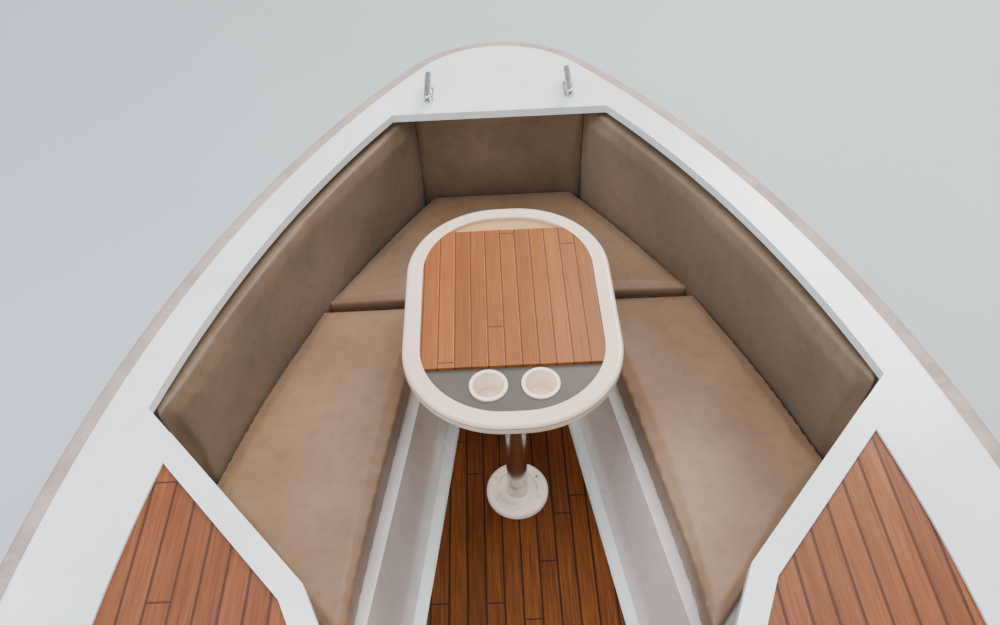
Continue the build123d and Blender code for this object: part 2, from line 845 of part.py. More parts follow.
# Dash mouldings on the deck behind the screen, seen from the side and carried across
dash_passage_gap = 32.0
dash_wing_gap = 34.0
dash_screen_gap = 75.0
dash_ledge = 10.0
dash_inner = passage_half + dash_passage_gap
dash_outer = screen_half - dash_wing_gap
dash_front_y = screen_y - dash_screen_gap
dash_back_y = dash_y + dash_ledge
dash_front_rise = 20.0
dash_rise = 96.0
dash_brow_run = 60.0
dash_round = 22.0
dash_sink = 50.0
dash_nose = 6.0
dash_face_run = 44.0
dash_face_rise = 84.0
dash_foot_z = deck_z(dash_back_y) + dash_nose
helm_inset = 530.0
helm_x = half_beam - helm_inset
with BuildPart() as dash_starboard:
    with BuildSketch(Plane.YZ.offset(dash_inner)):
        with BuildLine() as dash_side:
            Polyline(
                (dash_front_y, deck_z(dash_front_y) - dash_sink),
                (dash_front_y, deck_z(dash_front_y) + dash_front_rise),
                (dash_front_y - dash_brow_run, deck_z(dash_front_y) + dash_rise),
                (dash_back_y + dash_face_run, dash_foot_z + dash_face_rise),
                (dash_back_y, dash_foot_z),
                (dash_back_y, deck_z(dash_back_y) - dash_sink),
                close=True,
            )
        make_face(dash_side.edges())
    extrude(amount=dash_outer - dash_inner)
    fillet(dash_starboard.edges().filter_by(Axis.X).group_by(Axis.Z)[-1], dash_round)
    split(bisect_by=deck_plane, keep=Keep.TOP)
save(dash_starboard.part, "dash_starboard")
save(mirror(dash_starboard.part, about=Plane.YZ), "dash_port")

# Steering wheel on a short column through the dash's aft face
wheel_diameter = 350.0
wheel_rim = 26.0
wheel_boss = 18.0
wheel_hub_radius = 42.0
wheel_hub_depth = 30.0
spoke_count = 3
spoke_inner = 27.0
spoke_length = (wheel_diameter - wheel_rim) / 2 - spoke_inner
spoke_width = 26.0
spoke_thickness = 12.0
spoke_sink = 8.0
column_length = 120.0
column_radius = 30.0
helm_height_share = 0.42
helm_face = Plane(
    origin=(
        helm_x,
        dash_back_y + dash_face_run * helm_height_share,
        dash_foot_z + dash_face_rise * helm_height_share,
    ),
    x_dir=(1, 0, 0),
    z_dir=(0, -dash_face_rise, dash_face_run),
)
wheel_plane = helm_face.offset(column_length + seat_gap + wheel_boss)
wheel_centre = wheel_plane.origin
with BuildPart() as steering_wheel:
    with BuildSketch(Plane(origin=wheel_centre, x_dir=(1, 0, 0), z_dir=wheel_plane.y_dir)):
        with Locations(((wheel_diameter - wheel_rim) / 2, 0)):
            Circle(wheel_rim / 2)
    revolve(axis=Axis(wheel_centre, wheel_plane.z_dir))
    with BuildSketch(wheel_plane.offset(-wheel_boss)):
        Circle(wheel_hub_radius)
    extrude(amount=wheel_hub_depth)
    with BuildSketch(wheel_plane.offset(-spoke_sink)):
        with PolarLocations(spoke_inner + spoke_length / 2, spoke_count, start_angle=-90):
            Rectangle(spoke_length, spoke_width)
    extrude(amount=spoke_thickness)
save(steering_wheel.part, "steering_wheel")

with BuildPart() as steering_column:
    with BuildSketch(helm_face):
        Circle(column_radius)
    extrude(amount=column_length)
save(steering_column.part, "steering_column")

# Throttle: a binnacle on the starboard liner with its lever
throttle_y = 690.0
throttle_z = 650.0
throttle_length = 150.0
throttle_height = 120.0
throttle_depth = 36.0
throttle_corner = 40.0
throttle_round = 10.0
lever_boss = 24.0
lever_boss_depth = 14.0
lever_width = 18.0
lever_length = 135.0
lever_lean = 15.0
grip_radius = 11.0
grip_length = 56.0
throttle_face = Plane(
    origin=(half_beam - liner_inset - liner_thickness - seat_gap, throttle_y, throttle_z),
    x_dir=(0, 1, 0),
    z_dir=(-1, 0, 0),
)
with BuildPart() as throttle:
    with BuildSketch(throttle_face):
        RectangleRounded(throttle_length, throttle_height, throttle_corner)
    extrude(amount=throttle_depth)
    fillet(throttle.faces().sort_by(Axis.X)[0].edges(), throttle_round)
    with BuildSketch(throttle_face.offset(throttle_depth)):
        Circle(lever_boss)
        with Locations(Rot(0, 0, lever_lean) * Pos(0, -lever_length / 2)):
            Rectangle(lever_width, lever_length)
    extrude(amount=lever_boss_depth)
    with BuildSketch(throttle_face.offset(throttle_depth)):
        with Locations(Rot(0, 0, lever_lean) * Pos(0, -lever_length)):
            Circle(grip_radius)
    extrude(amount=grip_length)
save(throttle.part, "throttle")

# Helm and companion seats: pedestal, pan, cushion and back, the upper three turning together
seat_back_from_dash = 600.0
seat_y = dash_y - seat_back_from_dash
seat_outboard = -35.0
seat_x = helm_x + seat_outboard
pedestal_base = 260.0
pedestal_foot = 14.0
pedestal_diameter = 90.0
pan_height = 340.0
pan_thickness = 30.0
pan_margin = 15.0
pan_corner = 70.0
bracket_width = 220.0
bracket_reach = 70.0
bracket_height = 300.0
bracket_thickness = 12.0
bracket_back = 8.0
seat_width = 420.0
seat_depth = 400.0
seat_cushion = 100.0
seat_back_height = 400.0
seat_back_thickness = 90.0
seat_back_lean = 8.0
seat_back_low = 160.0
seat_back_corner = 90.0
seat_cushion_ahead = 20.0
seat_cushion_short = 60.0
seat_cushion_corner = 80.0
pan_z = sole_height + pan_height
bearing_gap = 0.5
cushion_base = pan_z + pan_thickness
for side_name, side in (("starboard", 1), ("port", -1)):
    place = (side * seat_x, seat_y)
    with BuildPart() as seat_pedestal:
        with BuildSketch(Plane.XY.offset(sole_height + teak_thickness)):
            with Locations(place):
                Circle(pedestal_base / 2)
        extrude(amount=pedestal_foot)
        with BuildSketch(Plane.XY.offset(sole_height + teak_thickness + pedestal_foot)):
            with Locations(place):
                Circle(pedestal_diameter / 2)
        extrude(amount=pan_height - teak_thickness - pedestal_foot - bearing_gap)
    save(seat_pedestal.part, f"seat_pedestal_{side_name}")

    with BuildPart() as seat_pan:
        with BuildSketch(Plane.XY.offset(pan_z)):
            with Locations(place):
                RectangleRounded(
                    seat_width - 2 * pan_margin, seat_depth - 2 * pan_margin, pan_corner
                )
        extrude(amount=pan_thickness)
        with BuildSketch(Plane.XY.offset(pan_z)):
            with Locations((place[0], seat_y - (seat_depth - bracket_reach) / 2 - pan_margin)):
                Rectangle(bracket_width, bracket_reach)
        extrude(amount=pan_thickness)
        # Upright plate that carries the back
        lean = radians(seat_back_lean)
        back_plane = Plane(
            origin=(place[0], seat_y - seat_depth / 2 - bracket_back, pan_z),
            x_dir=(1, 0, 0),
            z_dir=(0, -cos(lean), -sin(lean)),
        )
        with BuildSketch(back_plane):
            with Locations((0, bracket_height / 2)):
                Rectangle(bracket_width, bracket_height)
        extrude(amount=bracket_thickness)
    save(seat_pan.part, f"seat_pan_{side_name}")

    with BuildPart() as seat_pad:
        with BuildSketch(Plane.XY.offset(cushion_base + seat_gap)):
            with Locations((place[0], seat_y + seat_cushion_ahead)):
                RectangleRounded(
                    seat_width, seat_depth - seat_cushion_short, seat_cushion_corner
                )
        extrude(amount=seat_cushion)
    save(seat_pad.part, f"seat_cushion_{side_name}")

    with BuildPart() as seat_back:
        with BuildSketch(back_plane.offset(-seat_gap)):
            with Locations((0, seat_back_low + seat_back_height / 2)):
                RectangleRounded(seat_width, seat_back_height, seat_back_corner)
        extrude(amount=-seat_back_thickness)
    save(seat_back.part, f"seat_back_{side_name}")

# Aft bench across the cockpit
bench_height = 330.0
bench_inset = 192.0
bench_cushion = 110.0
bench_back_thickness = 110.0
bench_cushion_gap = 10.0
bench_toe = 30.0
bench_round = 30.0
bench_cushion_corner = 60.0
bench_cushion_aft_y = cockpit_aft_y + bench_back_thickness + bench_cushion_gap
bench_cushion_front_y = bench_front_y - bench_toe


def bench_plan(low_y, high_y, corner=0.0):
    """The bench's plan between the cockpit liners, from one place along the boat to another."""
    with BuildSketch(mode=Mode.PRIVATE) as plan:
        add(rim_shape(bench_inset))
        band(low_y, high_y)
        if corner:
            fillet(plan.vertices(), corner)
    return plan.sketch


with BuildPart() as bench_base:
    with BuildSketch(Plane.XY.offset(sole_height)):
        add(bench_plan(cockpit_aft_y + slip_gap, bench_front_y - slip_gap))
    extrude(amount=bench_height)
    fillet(bench_base.edges().filter_by(Axis.X).group_by(Axis.Y)[-1].group_by(Axis.Z)[-1], bench_round)
save(bench_base.part, "bench_base")

with BuildPart() as bench_cushion_pad:
    with BuildSketch(Plane.XY.offset(sole_height + bench_height + seat_gap)):
        add(bench_plan(bench_cushion_aft_y, bench_cushion_front_y, bench_cushion_corner))
    extrude(amount=bench_cushion)
save(bench_cushion_pad.part, "bench_cushion")

with BuildPart() as bench_back:
    with BuildSketch(Plane.XY.offset(sole_height + bench_height + seat_gap)):
        add(bench_plan(cockpit_aft_y + soft_gap, cockpit_aft_y + bench_back_thickness))
    extrude(amount=clear_height)
    cut_under_deck(soft_gap)
save(bench_back.part, "bench_back")

# Engine hatch with a sun pad, hinged at its aft edge, and the engine under it
hatch_gap = 8.0
hatch_thickness = 30.0
hatch_lift = 6.0
sunpad_thickness = 90.0
sunpad_margin = 30.0
sunpad_corner = 60.0
hatch_hinge_y = bay_open_aft_y
hatch_corner = 42.0
hinge_over_lid = 9.0
hatch_hinge_rise = hatch_lift + hinge_over_lid
hatch_knuckle = 7.0
hatch_pin = 3.5
hatch_leaf = 26.0
hatch_leaf_thickness = 4.0
hatch_web = 10.0
hatch_web_out = 7.0
hatch_knuckle_length = 60.0
hatch_hinge_places = (-420.0, 420.0)


def hatch_knuckles(middle_x, length, leaf_side, base_lift, bore):
    """One hinge barrel on the hatch's hinge line, with a flat leaf fore or aft of it."""
    with BuildPart(mode=Mode.PRIVATE) as barrel:
        across = Plane(
            origin=deck_plane.from_local_coords(
                (middle_x - length / 2, hatch_hinge_y, hatch_hinge_rise)
            ),
            x_dir=deck_plane.y_dir,
            z_dir=(1, 0, 0),
        )
        drop = hatch_hinge_rise - base_lift
        with BuildSketch(across):
            Circle(hatch_knuckle)
            with Locations((leaf_side * hatch_leaf / 2, hatch_leaf_thickness / 2 - drop)):
                Rectangle(hatch_leaf, hatch_leaf_thickness)
            with Locations((leaf_side * hatch_web_out, -drop / 2)):
                Rectangle(hatch_web, drop)
            if bore:
                Circle(hatch_pin + pin_play, mode=Mode.SUBTRACT)
        extrude(amount=length)
        if not bore:
            with BuildSketch(across):
                Circle(hatch_pin)
            extrude(amount=2 * length + 2 * knuckle_gap)
    return barrel.part


with BuildPart() as engine_hatch:
    with BuildSketch(deck_plane.offset(hatch_lift - hatch_thickness)):
        with Locations((0, (bay_open_front_y + bay_open_aft_y) / 2)):
            RectangleRounded(
                2 * (bay_open_half - hatch_gap),
                bay_open_front_y - bay_open_aft_y - 2 * hatch_gap,
                hatch_corner,
            )
    extrude(amount=hatch_thickness)
    for hinge_middle in hatch_hinge_places:
        moving_x = hinge_middle + hatch_knuckle_length + knuckle_gap
        add(hatch_knuckles(moving_x, hatch_knuckle_length, 1, hatch_lift, True))
save(engine_hatch.part, "engine_hatch")

with BuildPart() as hatch_hinges:
    for hinge_middle in hatch_hinge_places:
        add(hatch_knuckles(hinge_middle, hatch_knuckle_length, -1, 0, False))
save(hatch_hinges.part, "hatch_hinges")

with BuildPart() as sunpad:
    with BuildSketch(deck_plane.offset(hatch_lift + seat_gap)):
        with Locations((0, (bay_open_front_y + bay_open_aft_y) / 2)):
            RectangleRounded(
                2 * (bay_open_half - sunpad_margin),
                bay_open_front_y - bay_open_aft_y - 2 * sunpad_margin,
                sunpad_corner,
            )
    extrude(amount=sunpad_thickness)
save(sunpad.part, "sunpad")

engine_width = 620.0
engine_length = 600.0
engine_height = 640.0
engine_back = 30.0
with BuildPart() as engine:
    with BuildSketch(Plane.XY.offset(bay_floor)):
        with Locations((0, (bay_front_y + bay_aft_y) / 2 - engine_back)):
            Rectangle(engine_width, engine_length)
    extrude(amount=engine_height)
save(engine.part, "engine")

# Swim platform with a teak inlay and a ladder that folds over its aft edge
platform_length = 550.0
platform_inset = 140.0
platform_half = stern_half - platform_inset
platform_top = 290.0
platform_thickness = 60.0
platform_corner = 190.0
platform_round = 24.0
platform_aft_y = transom_y - platform_length
inlay_margin = 55.0
inlay_thickness = 8.0
with BuildPart() as swim_platform:
    with BuildSketch(Plane.XY.offset(platform_top - platform_thickness)):
        with BuildLine() as platform_edge:
            Polyline(
                (-platform_half, transom_y),
                (platform_half, transom_y),
                (platform_half, platform_aft_y),
                (-platform_half, platform_aft_y),
                close=True,
            )
            fillet(platform_edge.vertices().group_by(Axis.Y)[0], platform_corner)
        make_face(platform_edge.edges())
    extrude(amount=platform_thickness)
    platform_faces = swim_platform.faces().sort_by(Axis.Z)
    fillet(platform_faces[0].edges().sort_by(Axis.Y)[:-1], platform_round)
save(swim_platform.part, "swim_platform")

with BuildPart() as platform_teak:
    with BuildSketch(Plane.XY.offset(platform_top)):
        with Locations((0, transom_y - platform_length / 2)):
            RectangleRounded(
                2 * (platform_half - inlay_margin),
                platform_length - 2 * inlay_margin,
                platform_corner - inlay_margin,
            )
    extrude(amount=inlay_thickness)
save(platform_teak.part, "platform_teak")

ladder_x = 560.0
ladder_width = 320.0
ladder_tube = 25.0
ladder_length = 470.0
ladder_lift = 24.0
ladder_overhang = 22.0
ladder_z = platform_top + inlay_thickness + ladder_lift
ladder_hinge_y = platform_aft_y - ladder_overhang
ladder_sides = (ladder_x - ladder_width / 2, ladder_x + ladder_width / 2)
ladder_pin = 5.0
rung_count = 3
rung_spacing = 170.0
rung_end = 30.0
rung_tread = 52.0
rung_depth = 22.0
rung_corner = 8.0
cheek_side = 5.0
cheek_thickness = 6.0
cheek_half = 16.0
cheek_rise = 14.0
cheek_toe = 24.0
cheek_heel = 46.0
hinge_plate = 4.0
hinge_plate_run = 20.0
hinge_width = ladder_tube + 2 * cheek_side + 2 * cheek_thickness
with BuildPart() as ladder_hinges:
    for x in ladder_sides:
        for cheek_x in (x - hinge_width / 2, x + hinge_width / 2 - cheek_thickness):
            with BuildSketch(Plane.YZ.offset(cheek_x)):
                with BuildLine() as cheek_edge:
                    Polyline(
                        (ladder_hinge_y - cheek_half, ladder_z - cheek_rise),
                        (ladder_hinge_y - cheek_half, ladder_z + cheek_rise),
                        (ladder_hinge_y + cheek_half, ladder_z + cheek_rise),
                        (ladder_hinge_y + cheek_heel, platform_top + hinge_plate),
                        (ladder_hinge_y + cheek_heel, platform_top),
                        (ladder_hinge_y + cheek_toe, platform_top),
                        close=True,
                    )
                make_face(cheek_edge.edges())
            extrude(amount=cheek_thickness)
    with BuildSketch(Plane.XY.offset(platform_top)):
        for x in ladder_sides:
            with Locations((x, ladder_hinge_y + cheek_heel - hinge_plate_run / 2)):
                Rectangle(hinge_width, hinge_plate_run)
    extrude(amount=hinge_plate)
    for x in ladder_sides:
        with BuildSketch(Plane.YZ.offset(x - hinge_width / 2)):
            with Locations((ladder_hinge_y, ladder_z)):
                Circle(ladder_pin)
        extrude(amount=hinge_width)
save(ladder_hinges.part, "ladder_hinges")

with BuildPart() as ladder:
    for x in ladder_sides:
        with BuildSketch(Plane.XZ.offset(-ladder_hinge_y + ladder_tube / 2)):
            with Locations((x, ladder_z)):
                Circle(ladder_tube / 2)
        extrude(amount=-ladder_length - ladder_tube / 2)
    for rung in range(rung_count):
        rung_y = ladder_hinge_y + ladder_length - rung_end - rung * rung_spacing
        with BuildSketch(Plane.YZ.offset(ladder_x - ladder_width / 2)):
            with Locations((rung_y, ladder_z)):
                RectangleRounded(rung_tread, rung_depth, rung_corner)
        extrude(amount=ladder_width)
    with BuildSketch(Plane.YZ.offset(ladder_x - ladder_width)):
        with Locations((ladder_hinge_y, ladder_z)):
            Circle(ladder_pin + pin_play)
    extrude(amount=2 * ladder_width, mode=Mode.SUBTRACT)
save(ladder.part, "ladder")

# Stern drive: shield on the transom, steering gimbal, tilting leg and propeller
steer_behind = 160.0
steer_y = transom_y - steer_behind
tilt_z = -70.0
shield_width = 330.0
shield_height = 400.0
shield_thickness = 46.0
shield_drop = 10.0
shield_corner = 90.0
shield_round = 20.0
shield_z = tilt_z - shield_drop
gimbal_half = 128.0
gimbal_below = 150.0
gimbal_above = 130.0
gimbal_low = tilt_z - gimbal_below
gimbal_high = tilt_z + gimbal_above
gimbal_corner = 60.0
gimbal_bar = 72.0
gimbal_wall = 26.0
lug_thickness = 26.0
lug_radius = 30.0
lug_root_half = 60.0
lug_root_y = transom_y - 30.0
swivel_pin = 14.0
pin_recess = 4.0
trunnion_radius = 30.0
with BuildPart() as transom_shield:
    with BuildSketch(Plane.XZ.offset(-transom_y)):
        with Locations((0, shield_z)):
            RectangleRounded(shield_width, shield_height, shield_corner)
    extrude(amount=shield_thickness)
    fillet(transom_shield.faces().sort_by(Axis.Y)[0].edges(), shield_round)
    for lug_low, pin_low in (
        (gimbal_high + knuckle_gap, gimbal_high - gimbal_wall + pin_recess),
        (gimbal_low - knuckle_gap - lug_thickness, gimbal_low - knuckle_gap),
    ):
        with BuildSketch(Plane.XY.offset(lug_low)):
            with BuildLine() as lug_edge:
                Polyline(
                    (-lug_root_half, lug_root_y),
                    (lug_root_half, lug_root_y),
                    (lug_radius, steer_y),
                    (-lug_radius, steer_y),
                    close=True,
                )
            make_face(lug_edge.edges())
            with Locations((0, steer_y)):
                Circle(lug_radius)
        extrude(amount=lug_thickness)
        with BuildSketch(Plane.XY.offset(pin_low)):
            with Locations((0, steer_y)):
                Circle(swivel_pin)
        extrude(amount=gimbal_wall - pin_recess + knuckle_gap)
save(transom_shield.part, "transom_shield")

with BuildPart() as drive_gimbal:
    with BuildSketch(Plane.XZ.offset(-steer_y - gimbal_bar / 2)):
        with Locations((0, (gimbal_low + gimbal_high) / 2)):
            RectangleRounded(2 * gimbal_half, gimbal_high - gimbal_low, gimbal_corner)
            RectangleRounded(
                2 * (gimbal_half - gimbal_wall),
                gimbal_high - gimbal_low - 2 * gimbal_wall,
                gimbal_corner - gimbal_wall,
                mode=Mode.SUBTRACT,
            )
    extrude(amount=gimbal_bar)
    with BuildSketch(Plane.XY.offset(gimbal_low)):
        with Locations((0, steer_y)):
            Circle(swivel_pin + pin_play)
    extrude(amount=gimbal_high - gimbal_low, mode=Mode.SUBTRACT)
    with BuildSketch(Plane.YZ.offset(-gimbal_half)):
        with Locations((steer_y, tilt_z)):
            Circle(trunnion_radius + pin_play)
    extrude(amount=2 * gimbal_half, mode=Mode.SUBTRACT)
save(drive_gimbal.part, "drive_gimbal")

leg_half = 62.0
leg_edge = 14.0
trunnion_short = 4.0
propeller_z = -590.0
gearcase_radius = 58.0
gearcase_taper = 8.0
gearcase_ahead = 10.0
gearcase_shoulder = 110.0
gearcase_length = 340.0
case_front = steer_y + gearcase_ahead
case_back = case_front - gearcase_length
plate_z = -360.0
plate_thickness = 16.0
plate_sink = 10.0
plate_corner = 40.0
skeg_thickness = 14.0
shaft_radius = 15.0
shaft_overrun = 14.0
thrust_gap = 0.6
hub_radius = 50.0
hub_length = 130.0
# Columns: ahead of the steering axis, above the tilt axis
housing_outline = (
    (20.0, 60.0),
    (-32.0, 84.0),
    (-90.0, 36.0),
    (-134.0, 62.0),
    (-160.0, 128.0),
    (-235.0, 128.0),
    (-300.0, 60.0),
    (-300.0, -120.0),
    (-330.0, plate_z - tilt_z),
    (-90.0, plate_z - tilt_z),
    (-56.0, -160.0),
    (-56.0, -106.0),
    (20.0, -60.0),
)
# Columns: half width, ahead of the steering axis
plate_outline = ((70.0, -60.0), (130.0, -380.0))
# Columns: height, middle ahead of the steering axis, half width, half length
leg_foils = ((plate_z, -195.0, 34.0, 130.0), (propeller_z, -205.0, 26.0, 120.0))
# Columns: ahead of the steering axis, above the propeller shaft
skeg_outline = ((-60.0, -30.0), (-150.0, -190.0), (-230.0, -190.0), (-290.0, -30.0))
with BuildPart() as drive_leg:
    # Upper housing seen from the side, with its long edges bevelled
    with BuildSketch(Plane.YZ.offset(-leg_half)):
        with BuildLine() as housing:
            Polyline(*[(steer_y + run, tilt_z + up) for run, up in housing_outline], close=True)
        make_face(housing.edges())
    extrude(amount=2 * leg_half)
    sides = drive_leg.faces().sort_by(Axis.X)
    chamfer(sides[0].edges() + sides[-1].edges(), leg_edge)
    with BuildSketch(Plane.YZ.offset(-gimbal_half + trunnion_short)):
        with Locations((steer_y, tilt_z)):
            Circle(trunnion_radius)
    extrude(amount=2 * (gimbal_half - trunnion_short))
    # Anti-ventilation plate
    with BuildSketch(Plane.XY.offset(plate_z - plate_sink)):
        with BuildLine() as plate:
            Polyline(
                *[(half, steer_y + run) for half, run in plate_outline],
                *[(-half, steer_y + run) for half, run in reversed(plate_outline)],
                close=True,
            )
            fillet(plate.vertices(), plate_corner)
        make_face(plate.edges())
    extrude(amount=plate_thickness)
    # Lower leg as a foil section, gearcase and skeg
    for foil_z, middle, half_width, half_length in leg_foils:
        with BuildSketch(Plane.XY.offset(foil_z)):
            with Locations((0, steer_y + middle)):
                Ellipse(half_width, half_length)
    loft()
    with BuildSketch(Plane.YZ):
        with BuildLine() as case:
            crown = Spline(
                (case_front, propeller_z),
                (case_front - gearcase_shoulder, propeller_z + gearcase_radius),
                (case_back, propeller_z + gearcase_radius - gearcase_taper),
                tangents=((0, 1), (-1, -0.1)),
            )
            Line(crown @ 1, (case_back, propeller_z))
            Line((case_back, propeller_z), (case_front, propeller_z))
        make_face(case.edges())
    revolve(axis=Axis((0, 0, propeller_z), (0, 1, 0)))
    with BuildSketch(Plane.YZ.offset(-skeg_thickness / 2)):
        with BuildLine() as skeg:
            Polyline(*[(steer_y + run, propeller_z + up) for run, up in skeg_outline], close=True)
        make_face(skeg.edges())
    extrude(amount=skeg_thickness)
    with BuildSketch(Plane.XZ.offset(-case_back)):
        with Locations((0, propeller_z)):
            Circle(shaft_radius)
    extrude(amount=hub_length + thrust_gap + shaft_overrun)
save(drive_leg.part, "drive_leg")

blade_count = 3
prop_front_y = case_back - thrust_gap
# Blade sections from the root out. Columns: radius, chord, thickness, pitch angle, skew
blade_sections = (
    (36.0, 78.0, 15.0, 50.0, 0.0),
    (95.0, 122.0, 9.0, 34.0, 6.0),
    (150.0, 118.0, 6.0, 25.0, 16.0),
    (182.0, 52.0, 3.0, 21.0, 30.0),
)
with BuildPart() as propeller:
    with BuildSketch(Plane.XZ.offset(-prop_front_y)):
        with Locations((0, propeller_z)):
            Circle(hub_radius)
    extrude(amount=hub_length)
    # Each blade is lofted through thin lens sections that turn with the radius
    hub_middle = Vector(0, prop_front_y - hub_length / 2, propeller_z)
    for blade in range(blade_count):
        turn = radians(360 / blade_count * blade)
        radial = Vector(sin(turn), 0, cos(turn))
        across = Vector(cos(turn), 0, -sin(turn))
        with BuildPart(mode=Mode.PRIVATE) as blade_solid:
            for radius, chord, thickness, pitch, skew in blade_sections:
                along = across * cos(radians(pitch)) + Vector(0, sin(radians(pitch)), 0)
                with BuildSketch(
                    Plane(origin=hub_middle + radial * radius, x_dir=along, z_dir=radial)
                ):
                    with BuildLine():
                        front = (skew + chord / 2, 0)
                        back = (skew - chord / 2, 0)
                        ThreePointArc(back, (skew, thickness), front)
                        Line(front, back)
                    make_face()
            loft()
        add(blade_solid.part)
    with BuildSketch(Plane.XZ.offset(-prop_front_y)):
        with Locations((0, propeller_z)):
            Circle(shaft_radius + pin_play)
    extrude(amount=hub_length, mode=Mode.SUBTRACT)
save(propeller.part, "propeller")

# Cleats on the foredeck and the stern quarters: foot, two posts and a horned bar
bow_cleat_x = 225.0
bow_cleat_ahead = 97.0
stern_cleat_inset = 140.0
stern_cleat_ahead = 300.0
cleat_length = 150.0
cleat_bar = 20.0
cleat_bar_height = 14.0
cleat_bar_round = 6.0
cleat_foot_length = 84.0
cleat_foot_width = 30.0
cleat_foot_height = 6.0
cleat_post_radius = 8.0
cleat_post_spacing = 46.0
cleat_height = 32.0
bow_cleat_y = foredeck_aft_y + bow_cleat_ahead
stern_cleat_x = half_beam - stern_cleat_inset
stern_cleat_y = transom_y + stern_cleat_ahead
cleat_places = (
    (bow_cleat_x, bow_cleat_y),
    (-bow_cleat_x, bow_cleat_y),
    (stern_cleat_x, stern_cleat_y),
    (-stern_cleat_x, stern_cleat_y),
)
with BuildPart() as cleats:
    for cleat_x, cleat_y in cleat_places:
        with BuildPart(mode=Mode.PRIVATE) as cleat:
            with BuildSketch(deck_plane):
                with Locations((cleat_x, cleat_y)):
                    RectangleRounded(cleat_foot_width, cleat_foot_length, cleat_foot_width / 3)
            extrude(amount=cleat_foot_height)
            with BuildSketch(deck_plane.offset(cleat_height)):
                with Locations((cleat_x, cleat_y)):
                    SlotOverall(cleat_length, cleat_bar, rotation=90)
            extrude(amount=cleat_bar_height)
            bar_top = cleat.faces().sort_by(Axis.Z)[-1]
            fillet(bar_top.edges(), cleat_bar_round)
            with BuildSketch(deck_plane):
                with Locations(
                    (cleat_x, cleat_y - cleat_post_spacing / 2),
                    (cleat_x, cleat_y + cleat_post_spacing / 2),
                ):
                    Circle(cleat_post_radius)
            extrude(amount=cleat_height + cleat_bar_height / 2)
        add(cleat.part)
save(cleats.part, "cleats")

# Bow eye on the stem: a plate on the flat land and a bored lug
eye_plate_thickness = 8.0
eye_plate_corner = 20.0
eye_bore = 14.0
eye_lug_radius = 28.0
eye_lug_thickness = 14.0
eye_out = 26.0
with BuildPart() as bow_eye:
    with BuildSketch(stem_plane.offset(seat_gap - eye_land_depth)):
        RectangleRounded(eye_plate_width, eye_plate_height, eye_plate_corner)
    extrude(amount=eye_plate_thickness)
    lug_plane = Plane(
        origin=stem_plane.origin, x_dir=stem_plane.z_dir, z_dir=(-1, 0, 0)
    ).offset(-eye_lug_thickness / 2)
    with BuildSketch(lug_plane):
        with Locations(((eye_out - eye_land_depth + eye_plate_thickness) / 2, 0)):
            Rectangle(eye_out + eye_land_depth - eye_plate_thickness, 2 * eye_lug_radius)
        with Locations((eye_out, 0)):
            Circle(eye_lug_radius)
            Circle(eye_bore, mode=Mode.SUBTRACT)
    extrude(amount=eye_lug_thickness)
save(bow_eye.part, "bow_eye")
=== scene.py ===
import json
from math import cos, pi, radians, sin

import bmesh
import bpy
import numpy as np
from mathutils import Matrix, Vector


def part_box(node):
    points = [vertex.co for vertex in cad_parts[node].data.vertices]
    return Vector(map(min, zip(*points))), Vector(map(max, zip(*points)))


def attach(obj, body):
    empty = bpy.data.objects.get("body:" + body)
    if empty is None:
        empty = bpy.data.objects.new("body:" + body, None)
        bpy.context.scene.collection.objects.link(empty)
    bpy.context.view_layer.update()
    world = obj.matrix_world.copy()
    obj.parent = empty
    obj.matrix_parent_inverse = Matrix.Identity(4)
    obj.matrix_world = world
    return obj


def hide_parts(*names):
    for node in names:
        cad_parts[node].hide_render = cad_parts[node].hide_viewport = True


# Looks for the open speedboat: finishes, sewn pads, fittings, floor, light and camera.
# Metres, +Y towards the bow, +X to starboard, +Z up, the origin at the waterline.
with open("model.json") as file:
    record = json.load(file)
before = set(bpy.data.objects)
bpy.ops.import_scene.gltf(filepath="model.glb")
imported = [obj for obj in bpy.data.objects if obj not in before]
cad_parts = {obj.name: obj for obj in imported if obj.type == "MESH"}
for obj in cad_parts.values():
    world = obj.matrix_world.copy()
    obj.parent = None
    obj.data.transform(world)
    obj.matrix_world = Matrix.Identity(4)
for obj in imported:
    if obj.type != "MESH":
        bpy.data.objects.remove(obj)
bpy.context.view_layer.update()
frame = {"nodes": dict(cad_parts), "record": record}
nodes = frame["nodes"]
scene = bpy.context.scene
body_of_node = {
    node: body for body, names in frame["record"]["behaviour"]["bodies"].items() for node in names
}
straight_up = (0.0, 0.0, 1.0)


def node_box(name):
    """The low and high corners of a node's box."""
    return [np.array(corner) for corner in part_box(name)]


def colour(code):
    """Linear red, green, blue and 1 from an sRGB hex code."""
    values = np.array([int(code[i : i + 2], 16) for i in (1, 3, 5)]) / 255
    linear = np.where(values <= 0.04045, values / 12.92, ((values + 0.055) / 1.055) ** 2.4)
    return (float(linear[0]), float(linear[1]), float(linear[2]), 1.0)


def add_node(tree, kind, inputs=None, output=0, **settings):
    """Adds a node with its settings; inputs maps a socket to a value or to a node's output."""
    made = tree.nodes.new(kind)
    for name, value in settings.items():
        setattr(made, name, value)
    for key, value in (inputs or {}).items():
        if isinstance(value, bpy.types.NodeSocket):
            tree.links.new(value, made.inputs[key])
        else:
            made.inputs[key].default_value = value
    return made.outputs[output]


def start_material(name):
    """An empty node material: its tree, its shader and the object's own coordinates."""
    material = bpy.data.materials.new(name)
    material.use_nodes = True
    tree = material.node_tree
    tree.nodes.clear()
    shader = tree.nodes.new("ShaderNodeBsdfPrincipled")
    surface = tree.nodes.new("ShaderNodeOutputMaterial").inputs["Surface"]
    tree.links.new(shader.outputs[0], surface)
    return material, tree, shader, add_node(tree, "ShaderNodeTexCoord", output=3)


